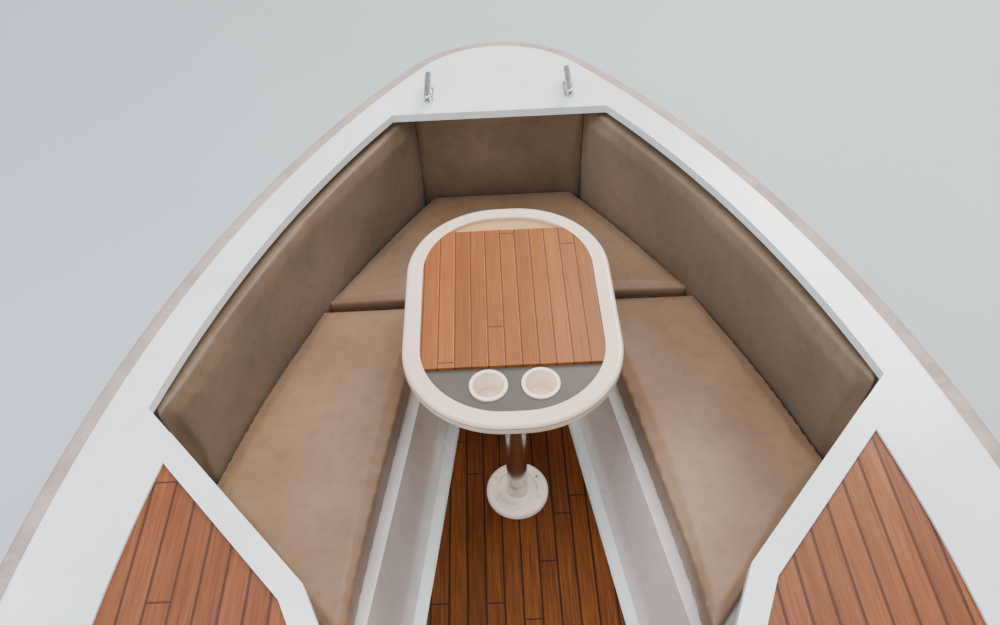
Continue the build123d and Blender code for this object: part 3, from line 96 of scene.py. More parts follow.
def gelcoat(name, light, shade, grime="#a9a79c", tray=None):
    """Gelcoat over glass fibre, sprayed into a polished mould.

    To the eye it is a hard gloss with a faint orange peel, chalky in soft patches and grimy in
    thin streaks that run down. tray gives the colours of the table's sunk field, ahead of the
    middle of its teak and behind it; the colour behind is painted shade, a dark grey for the
    shadow in the recess round the cups.
    """
    patch_width, peel_width, peel_depth = 0.35, 0.004, 0.00015
    streaks_a_metre = (20, 20, 3.5)
    tray_near, tray_past, tray_blend = 0.0005, 0.0015, 0.01
    material, tree, shader, place = start_material(name)
    patches = add_node(
        tree, "ShaderNodeTexNoise", {"Vector": place, "Scale": 1 / patch_width, "Detail": 4.0}
    )
    stretched = add_node(tree, "ShaderNodeMapping", {"Vector": place, "Scale": streaks_a_metre})
    streaks = add_node(
        tree, "ShaderNodeTexNoise", {"Vector": stretched, "Scale": 1.0, "Detail": 5.0}
    )
    chalk = add_node(tree, "ShaderNodeMapRange", {0: patches, 1: 0.3, 2: 0.7})
    base = add_node(
        tree,
        "ShaderNodeMix",
        {0: chalk, 6: colour(light), 7: colour(shade)},
        2,
        data_type="RGBA",
    )
    dirt = add_node(tree, "ShaderNodeMapRange", {0: streaks, 1: 0.55, 2: 0.8, 3: 0.0, 4: 0.18})
    base = add_node(
        tree, "ShaderNodeMix", {0: dirt, 6: base, 7: colour(grime)}, 2, data_type="RGBA"
    )
    if tray:
        fore_colour, aft_painted_shade = tray
        height = add_node(tree, "ShaderNodeSeparateXYZ", {0: place}, 2)
        off = add_node(tree, "ShaderNodeMath", {0: height, 1: tray_height}, operation="SUBTRACT")
        off = add_node(tree, "ShaderNodeMath", {0: off}, operation="ABSOLUTE")
        on_tray = add_node(
            tree, "ShaderNodeMapRange", {0: off, 1: tray_near, 2: tray_past, 3: 1, 4: 0}
        )
        forward = add_node(tree, "ShaderNodeSeparateXYZ", {0: place}, 1)
        ahead = add_node(
            tree,
            "ShaderNodeMapRange",
            {0: forward, 1: teak_middle - tray_blend, 2: teak_middle + tray_blend},
        )
        # Behind the teak's middle the field takes painted shade: a dark grey for the shadow in
        # the recess
        field = add_node(
            tree,
            "ShaderNodeMix",
            {0: ahead, 6: colour(aft_painted_shade), 7: colour(fore_colour)},
            2,
            data_type="RGBA",
        )
        base = add_node(
            tree, "ShaderNodeMix", {0: on_tray, 6: base, 7: field}, 2, data_type="RGBA"
        )
    tree.links.new(base, shader.inputs["Base Color"])
    polish = add_node(
        tree, "ShaderNodeMapRange", {0: patches, 1: 0.3, 2: 0.8, 3: 0.16, 4: 0.36}
    )
    tree.links.new(polish, shader.inputs["Roughness"])
    shader.inputs["IOR"].default_value = 1.5
    shader.inputs["Coat Weight"].default_value = 0.3
    shader.inputs["Coat Roughness"].default_value = 0.1
    peel = add_node(
        tree, "ShaderNodeTexNoise", {"Vector": place, "Scale": 1 / peel_width, "Detail": 2.0}
    )
    relief = add_node(
        tree, "ShaderNodeBump", {"Height": peel, "Distance": peel_depth, "Strength": 0.5}
    )
    tree.links.new(relief, shader.inputs["Normal"])
    return material


def teak_strips(
    name, light, dark, caulk, strip, seam=0.004, board=0.9, gloss=0.45, shift=0.0, shine=0.5
):
    """Sawn and sanded teak strips laid fore and aft, with caulked seams.

    To the eye it is long fine grain, a tone of its own for each strip, and dark lines sunk
    between them. A strip's number is the whole part of (x + shift) / strip. The caulk fills
    what lies within half a seam of a strip's edge, and each strip has its own butt joints, a
    board's length apart. gloss is the middle roughness, shine the specular level.
    """
    strips_aside = 200.0  # keeps the numbers positive
    butt_seam, board_starts, seam_depth = 0.003, 7.0, 0.001
    # Grain 6 mm across and many times longer, and broader bands 50 mm across
    grain_a_metre, bands_a_metre = (160, 6, 160), (20, 2.2, 20)
    material, tree, shader, place = start_material(name)
    across = add_node(tree, "ShaderNodeSeparateXYZ", {0: place}, 0)
    lengthwise = add_node(tree, "ShaderNodeSeparateXYZ", {0: place}, 1)
    across = add_node(
        tree,
        "ShaderNodeMath",
        {0: across, 1: 1 / strip, 2: shift / strip + strips_aside},
        operation="MULTIPLY_ADD",
    )
    number = add_node(tree, "ShaderNodeMath", {0: across}, operation="FLOOR")
    part = add_node(tree, "ShaderNodeMath", {0: across}, operation="FRACT")
    tint = add_node(tree, "ShaderNodeTexWhiteNoise", {"W": number}, noise_dimensions="1D")
    start = add_node(tree, "ShaderNodeMath", {0: tint, 1: board_starts}, operation="MULTIPLY")
    along = add_node(
        tree, "ShaderNodeMath", {0: lengthwise, 1: 1 / board, 2: start}, operation="MULTIPLY_ADD"
    )
    butt = add_node(tree, "ShaderNodeMath", {0: along}, operation="FRACT")
    seams = []
    for position, half, soft in (
        (part, seam / strip / 2, 0.03),
        (butt, butt_seam / board / 2, 0.001),
    ):
        side = add_node(tree, "ShaderNodeMath", {0: position, 1: 0.5}, operation="SUBTRACT")
        side = add_node(tree, "ShaderNodeMath", {0: side}, operation="ABSOLUTE")
        seams.append(
            add_node(tree, "ShaderNodeMapRange", {0: side, 1: 0.5 - half - soft, 2: 0.5 - half})
        )
    in_seam = add_node(tree, "ShaderNodeMath", {0: seams[0], 1: seams[1]}, operation="MAXIMUM")
    fine = add_node(tree, "ShaderNodeMapping", {"Vector": place, "Scale": grain_a_metre})
    grain = add_node(
        tree,
        "ShaderNodeTexNoise",
        {"Vector": fine, "Scale": 1.0, "Detail": 6.0, "Roughness": 0.65},
    )
    wide = add_node(tree, "ShaderNodeMapping", {"Vector": place, "Scale": bands_a_metre})
    bands = add_node(tree, "ShaderNodeTexNoise", {"Vector": wide, "Scale": 1.0, "Detail": 3.0})
    summer = add_node(tree, "ShaderNodeMapRange", {0: grain, 1: 0.35, 2: 0.68})
    wood = add_node(
        tree,
        "ShaderNodeMix",
        {0: summer, 6: colour(light), 7: colour(dark)},
        2,
        data_type="RGBA",
    )
    broad = add_node(tree, "ShaderNodeMapRange", {0: bands, 1: 0.4, 2: 0.7, 3: 0.0, 4: 0.5})
    wood = add_node(
        tree, "ShaderNodeMix", {0: broad, 6: wood, 7: colour(dark)}, 2, data_type="RGBA"
    )
    tone = add_node(tree, "ShaderNodeMapRange", {0: tint, 3: 0.82, 4: 1.14})
    grey = add_node(tree, "ShaderNodeCombineColor", {0: tone, 1: tone, 2: tone})
    wood = add_node(
        tree,
        "ShaderNodeMix",
        {0: 1.0, 6: wood, 7: grey},
        2,
        data_type="RGBA",
        blend_type="MULTIPLY",
    )
    base = add_node(
        tree, "ShaderNodeMix", {0: in_seam, 6: wood, 7: colour(caulk)}, 2, data_type="RGBA"
    )
    tree.links.new(base, shader.inputs["Base Color"])
    polish = add_node(
        tree, "ShaderNodeMapRange", {0: grain, 1: 0.3, 2: 0.7, 3: gloss - 0.08, 4: gloss + 0.12}
    )
    tree.links.new(polish, shader.inputs["Roughness"])
    shader.inputs["Specular IOR Level"].default_value = shine
    sunk = add_node(tree, "ShaderNodeMath", {0: in_seam, 1: -1.0}, operation="MULTIPLY")
    height = add_node(
        tree, "ShaderNodeMath", {0: grain, 1: 0.25, 2: sunk}, operation="MULTIPLY_ADD"
    )
    relief = add_node(
        tree, "ShaderNodeBump", {"Height": height, "Distance": seam_depth, "Strength": 0.6}
    )
    tree.links.new(relief, shader.inputs["Normal"])
    return material


def marine_vinyl(name, light, dark, tuck, seam_heights=()):
    """Coated marine vinyl, embossed with a leather grain and sewn over foam.

    To the eye it is a soft satin with small cells and slack folds, bleached in patches and
    soiled in specks. A seam is a dark furrow where z is within 1 to 3 mm of a seam height.
    """
    bleach_width, soil_width, fold_width = 0.3, 0.03, 0.08
    cell_width = 0.003  # drawn 3 mm across so that the cells show; the real ones are about 1 mm
    furrow_near, furrow_past = 0.0008, 0.003
    fold_depth, furrow_depth, cell_depth = 0.004, 0.002, 0.0004
    material, tree, shader, place = start_material(name)
    bleach = add_node(
        tree, "ShaderNodeTexNoise", {"Vector": place, "Scale": 1 / bleach_width, "Detail": 4.0}
    )
    mottle = add_node(
        tree, "ShaderNodeTexNoise", {"Vector": place, "Scale": 1 / soil_width, "Detail": 4.0}
    )
    worn = add_node(tree, "ShaderNodeMapRange", {0: bleach, 1: 0.35, 2: 0.68})
    base = add_node(
        tree,
        "ShaderNodeMix",
        {0: worn, 6: colour(light), 7: colour(dark)},
        2,
        data_type="RGBA",
    )
    soil = add_node(tree, "ShaderNodeMapRange", {0: mottle, 1: 0.5, 2: 0.8, 3: 0.0, 4: 0.25})
    base = add_node(
        tree, "ShaderNodeMix", {0: soil, 6: base, 7: colour(tuck)}, 2, data_type="RGBA"
    )
    furrow = 0.0
    height = add_node(tree, "ShaderNodeSeparateXYZ", {0: place}, 2)
    for seam_z in seam_heights:
        off = add_node(tree, "ShaderNodeMath", {0: height, 1: seam_z}, operation="SUBTRACT")
        off = add_node(tree, "ShaderNodeMath", {0: off}, operation="ABSOLUTE")
        near = add_node(
            tree, "ShaderNodeMapRange", {0: off, 1: furrow_near, 2: furrow_past, 3: 1, 4: 0}
        )
        furrow = add_node(tree, "ShaderNodeMath", {0: near, 1: furrow}, operation="MAXIMUM")
    base = add_node(
        tree, "ShaderNodeMix", {0: furrow, 6: base, 7: colour(tuck)}, 2, data_type="RGBA"
    )
    tree.links.new(base, shader.inputs["Base Color"])
    polish = add_node(
        tree, "ShaderNodeMapRange", {0: bleach, 1: 0.3, 2: 0.7, 3: 0.46, 4: 0.62}
    )
    tree.links.new(polish, shader.inputs["Roughness"])
    cells = add_node(tree, "ShaderNodeTexVoronoi", {"Vector": place, "Scale": 1 / cell_width})
    folds = add_node(
        tree, "ShaderNodeTexNoise", {"Vector": place, "Scale": 1 / fold_width, "Detail": 2.0}
    )
    soft = add_node(
        tree, "ShaderNodeBump", {"Height": folds, "Distance": fold_depth, "Strength": 0.35}
    )
    sewn = add_node(
        tree,
        "ShaderNodeBump",
        {"Height": furrow, "Distance": -furrow_depth, "Strength": 0.8, "Normal": soft},
    )
    relief = add_node(
        tree,
        "ShaderNodeBump",
        {"Height": cells, "Distance": cell_depth, "Strength": 0.5, "Normal": sewn},
    )
    tree.links.new(relief, shader.inputs["Normal"])
    shader.inputs["Sheen Weight"].default_value = 0.12
    shader.inputs["Sheen Roughness"].default_value = 0.5
    return material


def blotched(name, light, dark, speck, rough, grain, metallic=0.0, coat=0.0):
    """Moulded rubber or plastic, sprayed enamel, or cast metal.

    To the eye it is a skin that clouds in broad blotches with smaller specks between, over a
    fine grain. rough is the roughness of the smoother blotches, grain a grain's width.
    """
    blotch_width = 0.09
    specks_a_blotch, grain_to_depth = 4, 6
    material, tree, shader, place = start_material(name)
    broad = add_node(
        tree, "ShaderNodeTexNoise", {"Vector": place, "Scale": 1 / blotch_width, "Detail": 5.0}
    )
    small = add_node(
        tree,
        "ShaderNodeTexNoise",
        {"Vector": place, "Scale": specks_a_blotch / blotch_width, "Detail": 4.0},
    )
    share = add_node(tree, "ShaderNodeMapRange", {0: broad, 1: 0.38, 2: 0.62})
    base = add_node(
        tree,
        "ShaderNodeMix",
        {0: share, 6: colour(light), 7: colour(dark)},
        2,
        data_type="RGBA",
    )
    specks = add_node(tree, "ShaderNodeMapRange", {0: small, 1: 0.56, 2: 0.7, 3: 0.0, 4: 0.6})
    base = add_node(
        tree, "ShaderNodeMix", {0: specks, 6: base, 7: colour(speck)}, 2, data_type="RGBA"
    )
    tree.links.new(base, shader.inputs["Base Color"])
    polish = add_node(
        tree, "ShaderNodeMapRange", {0: broad, 1: 0.35, 2: 0.7, 3: rough, 4: rough + 0.15}
    )
    tree.links.new(polish, shader.inputs["Roughness"])
    fine = add_node(
        tree, "ShaderNodeTexNoise", {"Vector": place, "Scale": 1 / grain, "Detail": 2.0}
    )
    relief = add_node(
        tree,
        "ShaderNodeBump",
        {"Height": fine, "Distance": grain / grain_to_depth, "Strength": 0.4},
    )
    tree.links.new(relief, shader.inputs["Normal"])
    shader.inputs["Metallic"].default_value = metallic
    shader.inputs["Coat Weight"].default_value = coat
    return material


def brushed_metal(name, light, dark, rough, lines=(1600, 40, 40)):
    """Drawn stainless steel or anodised aluminium, finished with an abrasive belt.

    To the eye it is a bright mirror blurred along fine lines, with a few dull handling marks.
    lines is the count of brush lines to a metre on each axis.
    """
    mark_width, line_depth = 0.03, 0.00005
    material, tree, shader, place = start_material(name)
    stretched = add_node(tree, "ShaderNodeMapping", {"Vector": place, "Scale": lines})
    brush = add_node(
        tree, "ShaderNodeTexNoise", {"Vector": stretched, "Scale": 1.0, "Detail": 3.0}
    )
    marks = add_node(
        tree, "ShaderNodeTexNoise", {"Vector": place, "Scale": 1 / mark_width, "Detail": 3.0}
    )
    share = add_node(tree, "ShaderNodeMapRange", {0: marks, 1: 0.3, 2: 0.8})
    base = add_node(
        tree,
        "ShaderNodeMix",
        {0: share, 6: colour(light), 7: colour(dark)},
        2,
        data_type="RGBA",
    )
    tree.links.new(base, shader.inputs["Base Color"])
    polish = add_node(
        tree, "ShaderNodeMapRange", {0: brush, 1: 0.2, 2: 0.8, 3: rough, 4: rough + 0.16}
    )
    tree.links.new(polish, shader.inputs["Roughness"])
    shader.inputs["Metallic"].default_value = 1.0
    relief = add_node(
        tree, "ShaderNodeBump", {"Height": brush, "Distance": line_depth, "Strength": 0.4}
    )
    tree.links.new(relief, shader.inputs["Normal"])
    return material


def safety_glass(name):
    """Clear tempered glass: see-through, faintly blue-green, with small dried spots."""
    spot_width = 0.006
    material, tree, shader, place = start_material(name)
    spray = add_node(
        tree, "ShaderNodeTexNoise", {"Vector": place, "Scale": 1 / spot_width, "Detail": 3.0}
    )
    spots = add_node(tree, "ShaderNodeMapRange", {0: spray, 1: 0.66, 2: 0.74, 3: 0.02, 4: 0.22})
    tree.links.new(spots, shader.inputs["Roughness"])
    shader.inputs["Base Color"].default_value = colour("#e3efee")
    shader.inputs["Transmission Weight"].default_value = 1.0
    shader.inputs["IOR"].default_value = 1.45
    return material


# Heights that the finishes need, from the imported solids
table_recess = 0.010
tray_height = float(node_box("table_top")[1][2]) - table_recess
teak_low, teak_high = node_box("table_teak")
teak_middle = float(teak_low[1] + teak_high[1]) / 2
seam_margin = 0.014


def seam_pair(name):
    """Heights of a level pad's lower and upper stitched seams."""
    low, high = node_box(name)
    return (float(low[2]) + seam_margin, float(high[2]) - seam_margin)


# Only the lower seam on the bow cushions, so that no seam shows where two of them meet
bow_seam = seam_pair("bow_cushion_port")[:1]
# Gelcoat: cool white outside, warmer on the seat fronts and the table, and greyer on the liners
hull_gelcoat = gelcoat("polished gelcoat", "#eef3f4", "#dfe3e2")
seat_gelcoat = gelcoat("moulded gelcoat, seat fronts", "#efe4dd", "#d3c9c4")
liner_gelcoat = gelcoat("moulded gelcoat, inside", "#d2d3d0", "#bcbbb6")
# The table's sunk field: tan ahead of the teak's middle, and behind it a dark grey that is
# painted shade for the recess round the cups
rim_gelcoat = gelcoat(
    "moulded gelcoat, table", "#f4dcc8", "#e6c8b0", tray=("#be915f", "#575048")
)
# Extruded rubber that the sun has bleached: matt, uneven, with pale scuffs
strip_rubber = blotched("weathered rub strip", "#ab978c", "#98867c", "#b9aaa1", 0.6, 0.0014)
# Vinyl: the bow seats are the most worn, the backrests a browner cloth
tan = ("#957960", "#836750", "#4d3a2c")
seat_vinyl = marine_vinyl(
    "tan marine vinyl, bow seats", "#85684d", "#755840", "#443122", bow_seam
)
back_vinyl = marine_vinyl("brown marine vinyl", "#7a644f", "#63503b", "#36291c")
helm_vinyl = marine_vinyl("tan marine vinyl, helm seats", *tan, seam_pair("seat_cushion_port"))
bench_vinyl = marine_vinyl("tan marine vinyl, bench", *tan, seam_pair("bench_cushion"))
# Teak: oiled and dark underfoot, redder on the consoles, varnished on the table, and bleached
# to a dull brown on the platform
floor_teak = teak_strips(
    "oiled teak floor", "#6f3a0e", "#462205", "#261304", 0.052, gloss=0.58, shine=0.15
)
panel_teak = teak_strips(
    "teak on the consoles", "#844a26", "#673212", "#44200d", 0.047, shift=0.01, shine=0.3
)
table_teak = teak_strips(
    "varnished teak table",
    "#92572a",
    "#7b441d",
    "#603214",
    0.043,
    seam=0.003,
    board=1.4,
    gloss=0.36,
    shift=0.02,
    shine=0.3,
)
platform_teak = teak_strips("weathered teak strips", "#9b7355", "#765239", "#2c211a", 0.055)
# Tempered glass in anodised extrusions, satin along their length
clear_glass = safety_glass("tempered safety glass")
anodised = brushed_metal("anodised aluminium", "#c9cacc", "#a5a6a8", 0.28, (40, 1600, 1600))
# Bent and welded tube and castings, buffed to a sharp bright gloss
stainless = brushed_metal("polished stainless steel", "#dddcd9", "#b0afac", 0.1)
# Injection moulded ABS, smooth and slightly glossy
cup_plastic = blotched("cream moulded ABS", "#fff0e0", "#f8e4d0", "#fff4ea", 0.34, 0.001)
# Moulded polyurethane with a pebbled skin, and a smooth shiny dial beside it
grip_plastic = blotched("black polyurethane grip", "#1c1c1d", "#101011", "#29292a", 0.5, 0.001)
dial_plastic = blotched("black instrument dial", "#0d0e10", "#08090a", "#15171a", 0.2, 0.001)
# Enamel sprayed over cast aluminium: dark and half glossy, with paler scuffs
drive_enamel = blotched(
    "dark sprayed enamel", "#24262a", "#303336", "#4b4e50", 0.3, 0.003, coat=0.2
)
engine_enamel = blotched("black engine enamel", "#17181a", "#232426", "#3a3b3d", 0.4, 0.003)
# Cast, ground and polished steel: warm grey, cloudy with dull stains
propeller_steel = blotched(
    "polished cast propeller steel", "#b9b4ab", "#9a958d", "#d0ccc4", 0.2, 0.003, metallic=1.0
)

# Each node's finish, by its name or by the start that its name shares with its twin's
finishes = {
    "hull": hull_gelcoat,
    "deck": hull_gelcoat,
    "rub_strip": strip_rubber,
    "bow_seat_base": seat_gelcoat,
    "bow_floor_teak": floor_teak,
    "bow_eye": stainless,
    "console_": liner_gelcoat,
    "console_panel_": panel_teak,
    "cockpit_liner_": liner_gelcoat,
    "cockpit_floor_teak": floor_teak,
    "dash_": hull_gelcoat,
    "bench_base": liner_gelcoat,
    "bench_": bench_vinyl,
    "swim_platform": hull_gelcoat,
    "platform_teak": platform_teak,
    "engine_hatch": hull_gelcoat,
    "engine": engine_enamel,
    "table_top": rim_gelcoat,
    "table_teak": table_teak,
    "table_ring": cup_plastic,
    "table_leg": stainless,
    "table_cups": cup_plastic,
    "windscreen_glass_": clear_glass,
    "gate_glass": clear_glass,
    "windscreen_frame_": anodised,
    "gate_frame": anodised,
    "seat_pan_": liner_gelcoat,
    "seat_pedestal_": anodised,
    "seat_cushion_": helm_vinyl,
    "seat_back_": helm_vinyl,
    "steering_wheel": grip_plastic,
    "steering_column": grip_plastic,
    "throttle": grip_plastic,
    "cleats": stainless,
    "hatch_hinges": stainless,
    "ladder": stainless,
    "ladder_hinges": stainless,
    "transom_shield": drive_enamel,
    "drive_gimbal": drive_enamel,
    "drive_leg": drive_enamel,
    "propeller": propeller_steel,
    "backrest_": back_vinyl,
    "sunpad": bench_vinyl,
    "bow_cushion_": seat_vinyl,
}


def finish_of(name):
    """The finish of a node: its own name's, or the longest listed start that fits it."""
    if name in finishes:
        return finishes[name]
    starts = [start for start in finishes if start.endswith("_") and name.startswith(start)]
    return finishes[max(starts, key=len)]


for name, node in nodes.items():
    node.data.materials.clear()
    node.data.materials.append(finish_of(name))


def coordinates(mesh):
    """A mesh's points as rows of x, y, z."""
    flat = np.empty(len(mesh.vertices) * 3)
    mesh.vertices.foreach_get("co", flat)
    return flat.reshape(-1, 3)


def normals(mesh):
    """A mesh's point normals as rows."""
    flat = np.empty(len(mesh.vertices) * 3)
    mesh.vertex_normals.foreach_get("vector", flat)
    return flat.reshape(-1, 3)


def put_coordinates(mesh, points):
    """Writes rows of points back into a mesh."""
    mesh.vertices.foreach_set("co", np.ascontiguousarray(points, dtype=float).ravel())
    mesh.update()


def smooth_shading(mesh):
    """Shades all of a mesh's faces smooth."""
    mesh.polygons.foreach_set("use_smooth", np.ones(len(mesh.polygons), dtype=bool))


def cleaned(mesh, source, merge):
    """Fills a mesh with a source's, its points within merge joined and its faces outwards."""
    shape = bmesh.new()
    shape.from_mesh(source)
    bmesh.ops.remove_doubles(shape, verts=shape.verts, dist=merge)
    bmesh.ops.recalc_face_normals(shape, faces=shape.faces)
    shape.to_mesh(mesh)
    shape.free()


def in_scene(name, mesh):
    """A new object in the scene, at the origin, that shows a mesh."""
    piece = bpy.data.objects.new(name, mesh)
    scene.collection.objects.link(piece)
    return piece


def apply_modifiers(piece):
    """Replaces a piece's mesh by what its modifiers make of it."""
    depsgraph = bpy.context.evaluated_depsgraph_get()
    mesh = bpy.data.meshes.new_from_object(piece.evaluated_get(depsgraph))
    piece.modifiers.clear()
    old = piece.data
    piece.data = mesh
    bpy.data.meshes.remove(old)


def swollen(piece, cap, pressure=4.0, stiffness=12, steps=20):
    """Inflates a pad as sewn cloth over foam and gives each point's move, held to the cap."""
    start = coordinates(piece.data)
    cloth = piece.modifiers.new("cloth", "CLOTH")
    cloth.settings.quality = 4
    cloth.settings.mass = 0.3
    cloth.settings.tension_stiffness = stiffness
    cloth.settings.compression_stiffness = stiffness
    cloth.settings.use_pressure = True
    cloth.settings.uniform_pressure_force = pressure
    cloth.settings.effector_weights.gravity = 0.0
    cloth.point_cache.frame_start = 1
    cloth.point_cache.frame_end = steps
    for step in range(1, steps + 1):
        scene.frame_set(step)
    depsgraph = bpy.context.evaluated_depsgraph_get()
    moved = coordinates(piece.evaluated_get(depsgraph).data)
    piece.modifiers.clear()
    scene.frame_set(1)
    move = moved - start
    length = np.linalg.norm(move, axis=1, keepdims=True)
    return start, move * np.minimum(1.0, cap / np.maximum(length, 1e-9))


def pressed_in(points, outward, axis, lines, depth=0.006, width=0.009):
    """Presses seams into a pad: inward by depth * exp(-(d / width)^2) at distance d from one."""
    away = np.min(np.abs(points[:, axis, None] - np.asarray(lines)[None, :]), axis=1)
    return points - outward * (depth * np.exp(-((away / width) ** 2)))[:, None]


def pad(node, rest, voxel=0.014, cap=0.016, inset=0.006, crown=0.012, ease=3, seams=None):
    """A foam pad in a sewn cover, in the place of a soft solid.

    The solid is remeshed, drawn in by the inset, inflated as cloth, and kept inside its own
    skin plus the crown on the side away from what it rests on. rest is the outward direction
    of the side that lies flat, ease the passes that round its edges, and seams an axis and the
    places of channels across it.
    """
    underside_gap, side_swell = 0.0005, 0.001
    crown_facing = -0.5  # outward @ rest under this is the side away from the rest
    mesh = bpy.data.meshes.new(f"{node}_pad")
    cleaned(mesh, nodes[node].data, 1e-5)
    piece = in_scene(f"{node}_pad", mesh)
    remesh = piece.modifiers.new("remesh", "REMESH")
    remesh.mode = "VOXEL"
    remesh.voxel_size = voxel
    apply_modifiers(piece)
    first = coordinates(piece.data)
    outward = normals(piece.data)
    put_coordinates(piece.data, first - outward * inset)
    points = coordinates(piece.data)
    start, move = swollen(piece, cap)
    points = start + move
    # Flat where it rests, and past its own skin only on the side away from there
    rest = np.array(rest, dtype=float)
    resting = (first @ rest).max() - underside_gap
    points -= np.outer(np.maximum(points @ rest - resting, 0.0), rest)
    along = np.sum((points - first) * outward, axis=1)
    limit = np.where(outward @ rest < crown_facing, crown, side_swell)
    points -= outward * np.maximum(along - limit, 0.0)[:, None]
    put_coordinates(piece.data, points)
    smooth = piece.modifiers.new("smooth", "SMOOTH")
    smooth.factor = 0.5
    smooth.iterations = ease
    finer = piece.modifiers.new("finer", "SUBSURF")
    finer.levels = finer.render_levels = 1
    apply_modifiers(piece)
    if seams:
        pressed = pressed_in(coordinates(piece.data), normals(piece.data), *seams)
        put_coordinates(piece.data, pressed)
    smooth_shading(piece.data)
    piece.data.materials.clear()
    piece.data.materials.append(finish_of(node))
    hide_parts(node)
    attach(piece, body_of_node[node])


def channels(node, axis, count):
    """Even channel seams across a node: their axis and places."""
    low, high = node_box(node)
    return axis, np.linspace(low[axis], high[axis], count + 2)[1:-1]


down = (0.0, 0.0, -1.0)
fore = (0.0, 1.0, 0.0)
aft = (0.0, -1.0, 0.0)
bow_seat = dict(voxel=0.009, inset=0.0, ease=1)
bow_back = dict(voxel=0.011, inset=0.004, crown=0.008)
bench_voxel = 0.018
pad("bow_cushion_forward", down, **bow_seat)
pad("backrest_forward", fore, **bow_back)
for side, outboard in (("port", (-1.0, 0.0, 0.0)), ("starboard", (1.0, 0.0, 0.0))):
    pad(f"bow_cushion_{side}", down, **bow_seat)
    pad(f"backrest_{side}", outboard, **bow_back)
    pad(f"seat_cushion_{side}", down, seams=channels(f"seat_cushion_{side}", 1, 3))
    pad(f"seat_back_{side}", aft, seams=channels(f"seat_back_{side}", 2, 3))
pad("bench_cushion", down, bench_voxel, seams=channels("bench_cushion", 0, 5))
pad("bench_back", aft, bench_voxel, seams=channels("bench_back", 0, 5))
pad("sunpad", down, bench_voxel, seams=channels("sunpad", 0, 3))


def add_piece(name, points, faces, finish, body="root"):
    """Makes a new smooth piece from points and faces, and has it ride with a body."""
    mesh = bpy.data.meshes.new(name)
    mesh.from_pydata(points.tolist(), [], faces.tolist())
    cleaned(mesh, mesh, 1e-6)
    smooth_shading(mesh)
    mesh.materials.append(finish)
    piece = in_scene(name, mesh)
    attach(piece, body)


def ring_faces(rows, columns):
    """Four-cornered faces of a grid that closes on itself along its columns."""
    index = np.arange(rows * columns).reshape(rows, columns)
    around = np.roll(index, -1, axis=1)
    return np.stack([index[:-1], around[:-1], around[1:], index[1:]], axis=-1).reshape(-1, 4)


def turned(profile, places, axis, segments=40):
    """Surfaces of revolution of one closed profile, one at each place, as points and faces.

    A profile row is a radius and a height; at angle a it lies at
    place + height * axis + radius * (cos a * u + sin a * v), with u and v across the axis.
    """
    axis = np.array(axis) / np.linalg.norm(axis)
    u = np.cross(axis, (1.0, 0.0, 0.0) if abs(axis[0]) < 0.9 else (0.0, 1.0, 0.0))
    u /= np.linalg.norm(u)
    v = np.cross(axis, u)
    angles = np.linspace(0, 2 * pi, segments, endpoint=False)
    circle = np.cos(angles)[:, None] * u + np.sin(angles)[:, None] * v
    profile = np.array(profile)
    ring = profile[:, 0, None, None] * circle + (profile[:, 1, None] * axis)[:, None, :]
    rows = len(profile)
    quads = ring_faces(rows, segments)
    points = [ring.reshape(-1, 3) + np.array(place) for place in places]
    faces = [quads + number * rows * segments for number in range(len(places))]
    return np.concatenate(points), np.concatenate(faces)


def bars(rows, origin, right, up, out, thickness):
    """Thin bars on a flat face: a row is a place right and up, an angle, a length and a width.

    A corner lies at origin + a * right + b * up + h * out, where a and b are the bar's place
    plus its half sizes turned by its angle, and h is 0 or the thickness.
    """
    rows = np.array(rows, dtype=float)
    corners = np.array([(-1, -1), (1, -1), (1, 1), (-1, 1)] * 2, dtype=float)
    level = np.repeat([0.0, thickness], 4)
    half = rows[:, None, 3:5] / 2 * corners
    c, s = np.cos(rows[:, 2:3]), np.sin(rows[:, 2:3])
    a = rows[:, 0:1] + half[..., 0] * c - half[..., 1] * s
    b = rows[:, 1:2] + half[..., 0] * s + half[..., 1] * c
    points = np.array(origin) + a[..., None] * right + b[..., None] * up
    points = points + level[None, :, None] * out
    box = np.array(
        [(0, 3, 2, 1), (4, 5, 6, 7), (0, 1, 5, 4), (1, 2, 6, 5), (2, 3, 7, 6), (3, 0, 4, 7)]
    )
    faces = box[None] + 8 * np.arange(len(rows))[:, None, None]
    return points.reshape(-1, 3), faces.reshape(-1, 4)


def rod(path, radius, over, segments=14):
    """A round rod along a path, with its ends closed.

    Each point of the path carries the circle radius * (cos a * u + sin a * v), with u and v at
    right angles to the path's run there; the circle shrinks to a point at both ends.
    """
    path = np.array(path)
    path = np.concatenate([path[:1], path, path[-1:]])
    run = np.gradient(path[1:-1], axis=0)
    run = np.concatenate([run[:1], run, run[-1:]])
    run /= np.linalg.norm(run, axis=1, keepdims=True)
    u = np.cross(run, over)
    u /= np.linalg.norm(u, axis=1, keepdims=True)
    v = np.cross(run, u)
    angles = np.linspace(0, 2 * pi, segments, endpoint=False)[None, :, None]
    size = np.full(len(path), radius)
    size[[0, -1]] = 0.0
    circle = np.cos(angles) * u[:, None] + np.sin(angles) * v[:, None]
    points = path[:, None] + size[:, None, None] * circle
    return points.reshape(-1, 3), ring_faces(len(path), segments)


def staple(middle, along, out, half, height, square=5.0, count=33):
    """A staple-shaped line: half * cos^(2/square) along and height * sin^(2/square) out."""
    turn = np.linspace(0, pi, count)
    wide = half * np.sign(np.cos(turn)) * np.abs(np.cos(turn)) ** (2 / square)
    tall = height * np.sin(turn) ** (2 / square)
    return np.array(middle) + wide[:, None] * np.array(along) + tall[:, None] * np.array(out)


def on_skin(node, start, direction):
    """Where a line from a start meets a node's skin, and the skin's outward direction there."""
    spot, normal = nodes[node].ray_cast(Vector(start), Vector(direction))[1:3]
    return np.array(spot), np.array(normal)


